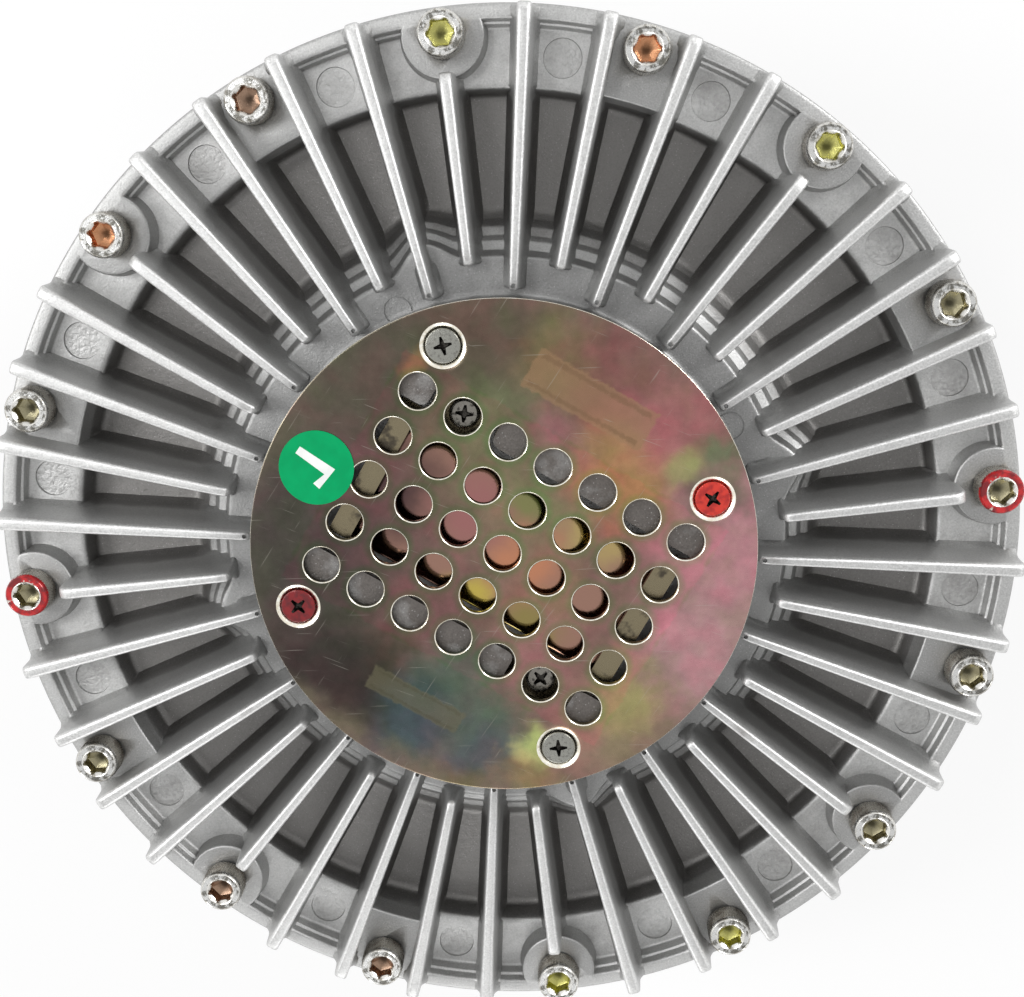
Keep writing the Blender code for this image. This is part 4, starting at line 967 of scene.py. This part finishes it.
def add_sheet_holes(mesh):
    """The holes with their rolled edges, and the dished seats of the screws."""
    under, above = PLATE_Z - SINK, PLATE_TOP + SINK
    lip = HOLE_LIP * 0.35
    add_plug(mesh, 48, hole_places(), (HOLE_R, under), (HOLE_R, PLATE_TOP - HOLE_LIP),
             (HOLE_R + lip, PLATE_TOP - lip), (HOLE_R + HOLE_LIP, PLATE_TOP), (HOLE_R + HOLE_LIP, above))
    inner = PLATE_HEAD_R + GAP
    dish = []
    for i in range(DISH_STEPS + 1):
        share = i / DISH_STEPS
        dish.append((inner + (DISH_R - inner) * share, PLATE_TOP - DISH_DEPTH * (1 - share) ** 2))
    add_plug(mesh, 48, PLATE_PLACES, (PLATE_HOLE_R, under), *dish, (DISH_R, above))


def sheet_piece(looks):
    """The sheet, with bright faces where it slants round the holes, the seats and its edge: bare metal with
    a painted highlight.
    """
    profile = softened([(0.0, PLATE_Z), (PLATE_R, PLATE_Z, SHEET_EDGE), (PLATE_R, PLATE_TOP, SHEET_EDGE),
                        (0.0, PLATE_TOP)], 3)
    sheet = lathe("perforated_sheet", profile, 240)
    cut_or_join(sheet, "DIFFERENCE", add_sheet_holes)
    faces = sheet.data.polygons
    faces.foreach_set("use_smooth", [abs(face.normal.z) < 0.999 for face in faces])
    bare_and_highlighted = [int(0.10 < face.normal.z < 0.93) for face in faces]
    dress(sheet, "casing", "yellow_zinc", looks, "perforated_plate", parts=bare_and_highlighted)


def add_cross(mesh, long, floor_long, width, depth, top):
    """A cross with four arms that narrow towards their tips, to be cut into a screw head."""
    half = width / 2
    outline, floor = [], []
    for i in range(4):
        for x, y in ((long / 2, -half * 0.55), (long / 2, half * 0.55), (half * 1.3, half * 1.3)):
            outline.append(spun((x, y), i * pi / 2, top))
            floor.append(spun((min(x, floor_long / 2), y * 0.7), i * pi / 2, top - depth))
    above = [Vector((p.x, p.y, top + CUT_PAST)) for p in outline]
    add_stack(mesh, [floor, outline, above])


def in_recess(face, reach, top):
    """1 on the faces sunk into the middle of a screw head, which take a near black painted shade."""
    sunk = SUNK_LEAST < top - face.center.z < SUNK_MOST
    return int(sunk and hypot(face.center.x, face.center.y) < reach)


def cross_screw(name, node, profile, sides, cross, inside, looks, slot, place, turn):
    """A turned screw with a cross recess. inside holds the recess's reach and the head's height."""
    screw = lathe(name, softened(profile, 3), sides)
    cut_or_join(screw, "DIFFERENCE", lambda mesh: add_cross(mesh, *cross))
    parts = [in_recess(face, *inside) for face in screw.data.polygons]
    screw.location = place
    screw.rotation_euler.z = turn
    dress(screw, "casing", slot, looks, node, parts=parts)


# how far below the top of a head the faces of its recess lie
SUNK_LEAST = 0.0001
SUNK_MOST = 0.0021
# how far a countersunk head stays below the sheet
HEAD_DROP = 0.00005
# profiles of the two kinds of cross recess screws: radius, height and the corner's rounding
COUNTERSUNK = ((0.0, -0.0085), (0.0018, -0.0085, 0.0003), (0.0020, -0.0022),
               (PLATE_HEAD_R, -0.0003, 0.0001), (PLATE_HEAD_R - 0.0002, 0.0, 0.0002), (0.0, 0.00005))
PAN_H = 0.0016
PAN = ((0.0, -0.0050), (0.0014, -0.0050, 0.0002), (0.0015, 0.0), (0.0034, 0.0, 0.0001),
       (0.0035, 0.0009, 0.0006), (0.0029, PAN_H, 0.0005), (0.0, PAN_H + 0.00005))
# their recesses: length at the top and at the floor, width of the arms, depth, height of the top
COUNTERSUNK_CROSS = (0.0042, 0.0022, 0.00085, 0.0018, 0.0002)
PAN_CROSS = (0.0040, 0.0022, 0.0009, 0.0013, 0.0017)


def plate_screws(looks, recess):
    for i, angle in enumerate(PLATE_ANGLES):
        cross_screw(f"countersunk_screw_{i + 1}", f"plate_screw_{i + 1}", COUNTERSUNK, 48,
                    COUNTERSUNK_CROSS, (PLATE_HEAD_R * 0.62, 0.0), (looks[i], recess),
                    "red_paint" if i % 2 else "zinc_screw",
                    polar(PLATE_SCREW_CIRCLE_R, angle, PLATE_TOP - HEAD_DROP), angle + i * radians(40))


def bracket_screws(dull, recess):
    # the screws under the sheet take the darker zinc given, painted shade
    for number in (1, 2):
        node = f"bracket_screw_{number}"
        middle = (low(node) + high(node)) / 2
        cross_screw(f"pan_screw_{number}", node, PAN, 40, PAN_CROSS, (0.0022, PAN_H), (dull, recess),
                    "zinc_screw", (middle.x, middle.y, high(node).z - PAN_H), radians(25 + 50 * number))


# the middle line of the tick on the sticker, and half its stroke
TICK = (Vector((-0.0040, 0.0006)), Vector((-0.0012, -0.0028)), Vector((0.0044, 0.0034)))
STROKE = 0.0009
MITRE = 1.45
PRINT_T = 0.00003
PRINT_GAP = 0.000004


def add_tick(mesh):
    left, right = [], []
    for i, here in enumerate(TICK):
        along = TICK[min(i + 1, 2)] - TICK[max(i - 1, 0)]
        across = Vector((-along.y, along.x)).normalized() * STROKE * (MITRE if i == 1 else 1.0)
        left.append(here + across)
        right.append(here - across)
    add_stack(mesh, [[spun(p, pi / 2, z) for p in right + left[::-1]] for z in (0.0, PRINT_T)])


def sticker(film, print_look):
    """Green inspection sticker with a plain white tick."""
    bottom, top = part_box("inspection_sticker")
    x, y, _ = (bottom + top) / 2
    radius, thick, edge = (top.x - bottom.x) / 2, top.z - bottom.z, 0.00004
    wall = ((radius, 0.0), (radius, thick - edge), (radius - edge, thick))
    disc = shaped("sticker_film", lambda mesh: add_plug(mesh, 96, AXIS, *wall))
    disc.location = (x, y, bottom.z)
    dress(disc, "casing", "green_film", [film], "inspection_sticker")
    mark = shaped("sticker_tick", add_tick)
    mark.location = (x, y, top.z + PRINT_GAP)
    dress(mark, "casing", "green_film", [print_look])


# what the bands of a cap screw are made of
SIDE, EDGE, TOP, LIP, WALL, BOTTOM = range(6)
# a cap screw from its tip to the floor of its recess, in metres from under its head: form, look of the
# bands above, radii and heights
CAP_BANDS = (
    ("round", SIDE, ((0.0, -0.030), (0.0022, -0.030), (0.0029, -0.0292), (0.0029, -0.0004), (0.0031, 0.0),
                     (CAP_R - 0.0003, 0.0))),
    ("knurl", SIDE, ((CAP_R, 0.0004),)),
    ("knurl", EDGE, ((CAP_R, 0.0049),)),
    ("round", EDGE, ((CAP_R - 0.0001, 0.0052), (CAP_R - 0.0002, 0.0057), (CAP_R - 0.0005, CAP_H))),
    ("round", TOP, ((CAP_R - 0.0006, CAP_H - 0.0001),)),
    ("round", LIP, ((0.0034, CAP_H - 0.0001), (0.0033, CAP_H), (0.0031, CAP_H - 0.0001))),
    ("hexagon", WALL, ((0.0, CAP_H - 0.0008),)),
    ("hexagon", BOTTOM, ((0.0, 0.0026),)),
    ("round", BOTTOM, ((0.0, 0.0012),)),
)
CAP_SIDES = 96
KNURL = 0.00018
HEXAGON = 0.0050


def cap_radius(form, radius, number):
    if form == "hexagon":
        turned = (2 * pi * number / CAP_SIDES + pi / 6) % (pi / 3) - pi / 6
        return HEXAGON / 2 / cos(turned)
    return radius - KNURL if form == "knurl" and number % 2 else radius


def add_cap_screw(mesh):
    """A socket head cap screw with a knurled head, its origin under the head."""
    made = []
    for form, look, band in CAP_BANDS:
        for radius, z in band:
            single = radius == 0.0 and form == "round"
            ring = []
            for i in range(1 if single else CAP_SIDES):
                point = polar(cap_radius(form, radius, i), 2 * pi * i / CAP_SIDES, z)
                ring.append(mesh.verts.new(point))
            made.append((ring, look))
    for (first, look), (second, _) in zip(made, made[1:]):
        before = len(mesh.faces)
        add_band(mesh, first, second)
        mesh.faces.ensure_lookup_table()
        for face in mesh.faces[before:]:
            face.material_index = look


RECESS_TINTS = {
    "yellow": (0.52, 0.50, 0.17),
    "copper": (0.56, 0.28, 0.15),
    "brown": (0.36, 0.24, 0.17),
    "olive": (0.34, 0.31, 0.20),
}
RECESS_OF = ("yellow", "copper", "yellow", "olive", "olive", "olive", "olive", "yellow",
             "yellow", "brown", "brown", "olive", "olive", "olive", "copper", "brown")
PAINTED = (SCREWS // 4, 3 * SCREWS // 4)


def rim_screws(side, bright, head, paint):
    sockets = {}
    for name, tint in RECESS_TINTS.items():
        wall = zinc_look(f"recess_{name}", (0.60, 0.58, 0.50), tint, 0.0030, 0.80)
        sockets[name] = (wall, socket_look(f"socket_{name}", tint))
    for i, angle in enumerate(RIM_ANGLES):
        screw = shaped(f"cap_screw_{i + 1:02d}", add_cap_screw, smooth=35)
        screw.location = polar(SCREW_CIRCLE_R, angle, CAP_UNDER)
        screw.rotation_euler.z = angle + i * radians(17)
        parts = [face.material_index for face in screw.data.polygons]
        # the edge takes the painted highlight unless the head is painted red, and the lip always does
        top = (paint, paint) if i in PAINTED else (bright, head)
        dress(screw, "casing", "red_paint" if i in PAINTED else "zinc_screw",
              (side, *top, bright, *sockets[RECESS_OF[i]]), f"cover_screw_{i + 1:02d}", parts=parts)


def add_strip(mesh):
    half_l, half_w = STRIP_HALF_L, STRIP_HALF_W
    corners = [(half_l, half_w), (-half_l, half_w), (-half_l, -half_w), (half_l, -half_w)]
    outline = rounded_loop(corners, STRIP_CORNER)
    shrunk = [(x * (1 - STRIP_EDGE / half_l), y * (1 - STRIP_EDGE / half_w)) for x, y in outline]
    levels = ((shrunk, 0.0), (outline, STRIP_EDGE), (outline, STRIP_T - STRIP_EDGE), (shrunk, STRIP_T))
    add_stack(mesh, [[(x, y, z) for x, y in points] for points, z in levels])


def strip_piece(look):
    strip = shaped("valve_strip", add_strip)
    strip.location = (0.0, 0.0, STRIP_Z)
    strip.rotation_euler.z = TURN
    dress(strip, "casing", "bimetal", [look], "bimetal_strip")


def add_rear_fins(mesh):
    inner, outer, steps = HUB_OUT_R + 0.006, RIM_R - 0.0039, 24
    half, size = REAR_FIN_HALF_T, REAR_FIN_CORNER
    sections = []
    for k in range(steps + 1):
        radius = inner + (outer - inner) * k / steps
        near = min(radius - inner, outer - radius)
        crest = BACK_Z - REAR_FIN_H
        if near < size:
            crest += size - sqrt(size * size - (size - near) ** 2)
        side = []
        for level in range(8):
            z = BACK_Z + SINK + (crest + half - BACK_Z - SINK) * (level / 7) ** 1.5
            grow = fillet(max(0.0, BACK_Z - z))
            side.append((half + REAR_FIN_DRAFT * (z - crest) / REAR_FIN_H + grow, z))
        for level in range(1, FIN_CROWN):
            angle = pi / 2 * level / FIN_CROWN
            side.append((half * cos(angle), crest + half - half * sin(angle)))
        sections.append(fin_section(radius, side, crest + half - half * sin(pi / 2)))
    for i in range(REAR_FINS):
        add_turned_stack(mesh, sections, from_top(i, REAR_FINS))


def add_fan_bosses(mesh):
    wall = [(0.0070, FAN_BOSS_END), (0.0075, FAN_BOSS_END + 0.0005)]
    for i in range(7):
        z = BACK_Z - FILLET_REACH + (FILLET_REACH + SINK) * i / 6
        wall.append((0.0078 + fillet(max(0.0, BACK_Z - z)), z))
    add_plug(mesh, 48, FAN_PLACES, *wall)


def add_rear_drillings(mesh):
    """Blind holes with drilled tips, in the fan's bosses and for the rim screws."""
    end = FAN_BOSS_END
    hole = [(0.0, end - CUT_PAST), (0.0031, end - CUT_PAST), (0.0031, end + 0.0001), (0.0025, end + 0.0007)]
    add_lathe(mesh, hole + [(0.0025, end + 0.0125), (0.0, end + 0.0137)], 32, FAN_PLACES)
    tip, top = CAP_UNDER - 0.0306, HOUSING_TOP + CUT_PAST
    add_lathe(mesh, [(0.0, tip - 0.0012), (0.0033, tip), (0.0033, top), (0.0, top)], 32, RIM_PLACES)


def groove(radius, bite, ring):
    """The corners of a retaining ring's groove in a bore or on a shaft, from its lower side."""
    bottom, top = low(ring).z - CLIP_CLEAR, high(ring).z + CLIP_CLEAR
    return [(radius, bottom), (radius + bite, bottom), (radius + bite, top), (radius, top)]


def housing_casting(look):
    shoulder = high("bearing_outer_ring").z + GAP
    chamber, opening = BACK_Z + 0.0048, 0.0273
    corners = [(BEARING_R, shoulder), *groove(BEARING_R, CLIP_BITE, "bearing_circlip")[::-1]]
    corners += [(BEARING_R, HUB_LOW + 0.0005), (BEARING_R + 0.0005, HUB_LOW), (HUB_OUT_R, HUB_LOW, 0.0010)]
    corners += [(HUB_OUT_R + 0.0008, BACK_Z, 0.0030), (RIM_R - 0.0004, BACK_Z, 0.0020)]
    corners += [(RIM_R, HOUSING_TOP - 0.0003), (RIM_R - 0.0003, HOUSING_TOP), (CHAMBER_R, HOUSING_TOP)]
    corners += [(CHAMBER_R, chamber), (opening, chamber), (opening, shoulder)]
    housing = lathe("housing_casting", softened(corners), 240, REAR_SMOOTH)
    cut_or_join(housing, "UNION", add_rear_fins, add_fan_bosses, smooth=REAR_SMOOTH)
    cut_or_join(housing, "DIFFERENCE", add_rear_drillings, smooth=REAR_SMOOTH)
    dress(housing, "casing", "cast_aluminium", [look], "rear_housing")


def add_flange_holes(mesh):
    """Four through holes with chamfers, and a centre hole with a drilled tip."""
    wall = ((0.0052, -CUT_PAST), (0.0052, 0.0), (0.0045, 0.0007), (0.0045, 0.0093), (0.0052, FLANGE_T),
            (0.0052, FLANGE_T + CUT_PAST))
    add_plug(mesh, 48, [polar(0.034, i * pi / 2) for i in range(4)], *wall)
    add_lathe(mesh, [(0.0, -CUT_PAST), (0.0022, -CUT_PAST), (0.0022, 0.0004), (0.0, 0.0034)], 32)


def shaft_piece(look):
    tip = high("input_shaft").z
    seat_r, neck_r, rotor_r, edge = 0.0147, 0.0195, 0.0122, 0.0004
    neck_top = low("bearing_inner_ring").z - GAP
    step = low("rotor_disc").z - GAP
    corners = [(0.0, 0.0), (FLANGE_R - FLANGE_EDGE, 0.0), (FLANGE_R, FLANGE_EDGE)]
    corners += [(FLANGE_R, FLANGE_T - FLANGE_EDGE), (FLANGE_R - FLANGE_EDGE, FLANGE_T)]
    corners += [(neck_r, FLANGE_T, 0.0025), (neck_r, neck_top), (seat_r, neck_top)]
    corners += [*groove(seat_r, -CLIP_BITE, "shaft_circlip"), (seat_r, step), (rotor_r, step)]
    corners += groove(rotor_r, -CLIP_BITE, "rotor_ring")
    corners += [(rotor_r, tip - edge), (rotor_r - edge, tip), (0.0, tip)]
    shaft = lathe("flanged_shaft", softened(corners), 160)
    cut_or_join(shaft, "DIFFERENCE", add_flange_holes)
    dress(shaft, "shaft", "machined_steel", [look], "input_shaft")


CAMERA_PLACE = (0.02147, 0.07733, 0.39052)
CAMERA_TURN = (radians(-13.016), radians(1.992), radians(-6.808))
CAMERA_LENS = 48.25
CAMERA_SENSOR = 36.0

# lamps: name, place, size, power
LAMPS = (
    ("key_right", (0.64, 0.38, 0.46), 0.32, 3.6),
    ("key_left", (-0.60, 0.20, 0.66), 0.32, 3.0),
    ("key_top_left", (-0.30, 0.34, 0.86), 0.16, 1.0),
    ("key_low", (-0.18, -0.62, 0.46), 0.32, 1.2),
)
LAMP_AIM = Vector((0.0, 0.0, 0.09))
SKY_LEVEL = 0.45
FLOOR_GLOW = 0.80


def camera():
    data = bpy.data.cameras.new("camera")
    data.lens = CAMERA_LENS
    data.sensor_width = CAMERA_SENSOR
    data.clip_start = 0.01
    obj = in_scene("camera", data)
    obj.location = CAMERA_PLACE
    obj.rotation_euler = CAMERA_TURN
    bpy.context.scene.camera = obj


def lamps():
    for name, place, size, power in LAMPS:
        data = bpy.data.lights.new(name, "AREA")
        data.shape = "DISK"
        data.size = size
        data.energy = power
        obj = in_scene(name, data)
        obj.location = place
        obj.rotation_euler = (LAMP_AIM - Vector(place)).to_track_quat("-Z", "Y").to_euler()


def seen_directly(tree):
    """1 for rays that come straight from the camera or by way of a mirror or glass."""
    path = tree.nodes.new("ShaderNodeLightPath")
    share = path.outputs["Is Camera Ray"]
    for name in ("Is Glossy Ray", "Is Transmission Ray"):
        either = tree.nodes.new("ShaderNodeMath")
        either.operation = "MAXIMUM"
        tree.links.new(share, either.inputs[0])
        tree.links.new(path.outputs[name], either.inputs[1])
        share = either.outputs[0]
    return share


def sky():
    scene = bpy.context.scene
    scene.view_settings.view_transform = "Standard"
    scene.world = bpy.data.worlds.new("studio")
    scene.world.use_nodes = True
    tree = scene.world.node_tree
    back = tree.nodes["Background"]
    back.inputs["Color"].default_value = (1.0, 1.0, 1.0, 1.0)
    level = tree.nodes.new("ShaderNodeMapRange")
    level.inputs["To Min"].default_value = SKY_LEVEL
    level.inputs["To Max"].default_value = 1.0
    tree.links.new(seen_directly(tree), level.inputs["Value"])
    tree.links.new(level.outputs[0], back.inputs["Strength"])


def floor_piece():
    floor = shaped("floor", lambda mesh: bmesh.ops.create_grid(mesh, x_segments=1, y_segments=1, size=3.0))
    look = Look("pale_floor", metallic=0.0)
    look.set(Base_Color=look.mix(look.noise(0.05), (0.90, 0.90, 0.90), (0.93, 0.93, 0.93)), Roughness=0.9)
    glow = look.add("ShaderNodeEmission", (1.0, 1.0, 1.0), 1.0).outputs[0]
    share = look.times(seen_directly(look.tree), FLOOR_GLOW)
    blend = look.add("ShaderNodeMixShader", share, look.shader.outputs[0], glow)
    look.tree.links.new(blend.outputs[0], look.tree.nodes["Material Output"].inputs["Surface"])
    floor.data.materials.append(look.material)


def plain_nodes(kinds, bracket):
    """Give the solids that are shown as they are a finished material of their own kind."""
    for row in frame["record"]["subparts"]:
        node = frame["nodes"][row["node"]]
        look = bracket if row["node"].startswith("strip_bracket") else kinds[row["material_slot"]]
        node.data.materials.clear()
        node.data.materials.append(look)


def build():
    cast = cast_look("cast_cover", FLOOR_Z, HUB_Z - GAP, COVER_TONES, 0.74, paint_crest_and_ledge_light=True)
    mark = cast_look("cast_marks", FLOOR_Z, HUB_Z - GAP, COVER_TONES, 1.0, 1.0, 0.0009)
    rear = cast_look("cast_housing", BACK_Z, HUB_LOW, REAR_TONES)
    sheet = sheet_look("passivated_sheet")
    # a painted highlight on the rounded edges of the cap screw heads and on the lips round their sockets
    bright = zinc_look("highlighted_edge", (0.72, 0.71, 0.68), (0.36, 0.34, 0.30), 0.0016, 0.52)
    head = zinc_look("stained_head", (0.56, 0.56, 0.55), (0.14, 0.135, 0.12), 0.0017, 0.62)
    knurl = zinc_look("knurled_side", (0.52, 0.49, 0.43), (0.32, 0.28, 0.23), 0.0030)
    pewter = zinc_look("dull_screw", (0.27, 0.27, 0.245), (0.18, 0.175, 0.16), 0.0008)
    # darker zinc for the pan screws under the sheet, painted shade
    dark = zinc_look("shaded_bracket_screw", (0.20, 0.19, 0.17), (0.06, 0.055, 0.05), 0.0012)
    bracket = zinc_look("bracket_finish", (0.20, 0.17, 0.11), (0.07, 0.06, 0.045), 0.0050)
    # near black zinc in the cross recesses, painted shade
    recess = zinc_look("shaded_cross_recess", (0.060, 0.056, 0.050), (0.02, 0.018, 0.016), 0.0008, 0.6, 0.45)
    red = paint_look("inspection_red", (0.50, 0.018, 0.020), (0.17, 0.006, 0.010), 0.30)
    # lit and shaded copies of one inspection red: the lighter paints the light on the right plate screw,
    # the darker the shade on the left one
    lit_red = paint_look("lit_inspection_red", (0.58, 0.030, 0.016), (0.34, 0.012, 0.010), 0.22)
    shaded_red = paint_look("shaded_inspection_red", (0.20, 0.007, 0.010), (0.10, 0.004, 0.007), 0.22)
    green = film_look("sticker_green", (0.001, 0.34, 0.115))
    strip = strip_look("bimetal_strip_finish")
    steel = steel_look("turned_steel")
    camera()
    plain_nodes({
        "seal_rubber": rubber_look("seal_rubber_finish"), "machined_steel": steel,
        "bearing_steel": steel_look("ground_steel", (0.70, 0.70, 0.70), 0.14, 0.0004),
        "cage_brass": steel_look("pressed_brass", (0.70, 0.54, 0.28), 0.32, 0.0006),
        "zinc_screw": zinc_look("plated_screw", (0.60, 0.59, 0.56), (0.30, 0.29, 0.26)),
        "bimetal": strip, "cast_aluminium": cast, "yellow_zinc": sheet, "red_paint": red,
        "green_film": green,
    }, bracket)
    cover_casting([cast, mark])
    sheet_piece([sheet, bare_edge_highlight_look("bare_edges_painted_highlight")])
    plate_screws((pewter, lit_red, pewter, shaded_red), recess)
    sticker(green, film_look("sticker_white", (0.86, 0.88, 0.86)))
    rim_screws(knurl, bright, head, red)
    strip_piece(strip)
    bracket_screws(dark, recess)
    housing_casting(rear)
    shaft_piece(steel)
    sky()
    lamps()
    floor_piece()


build()
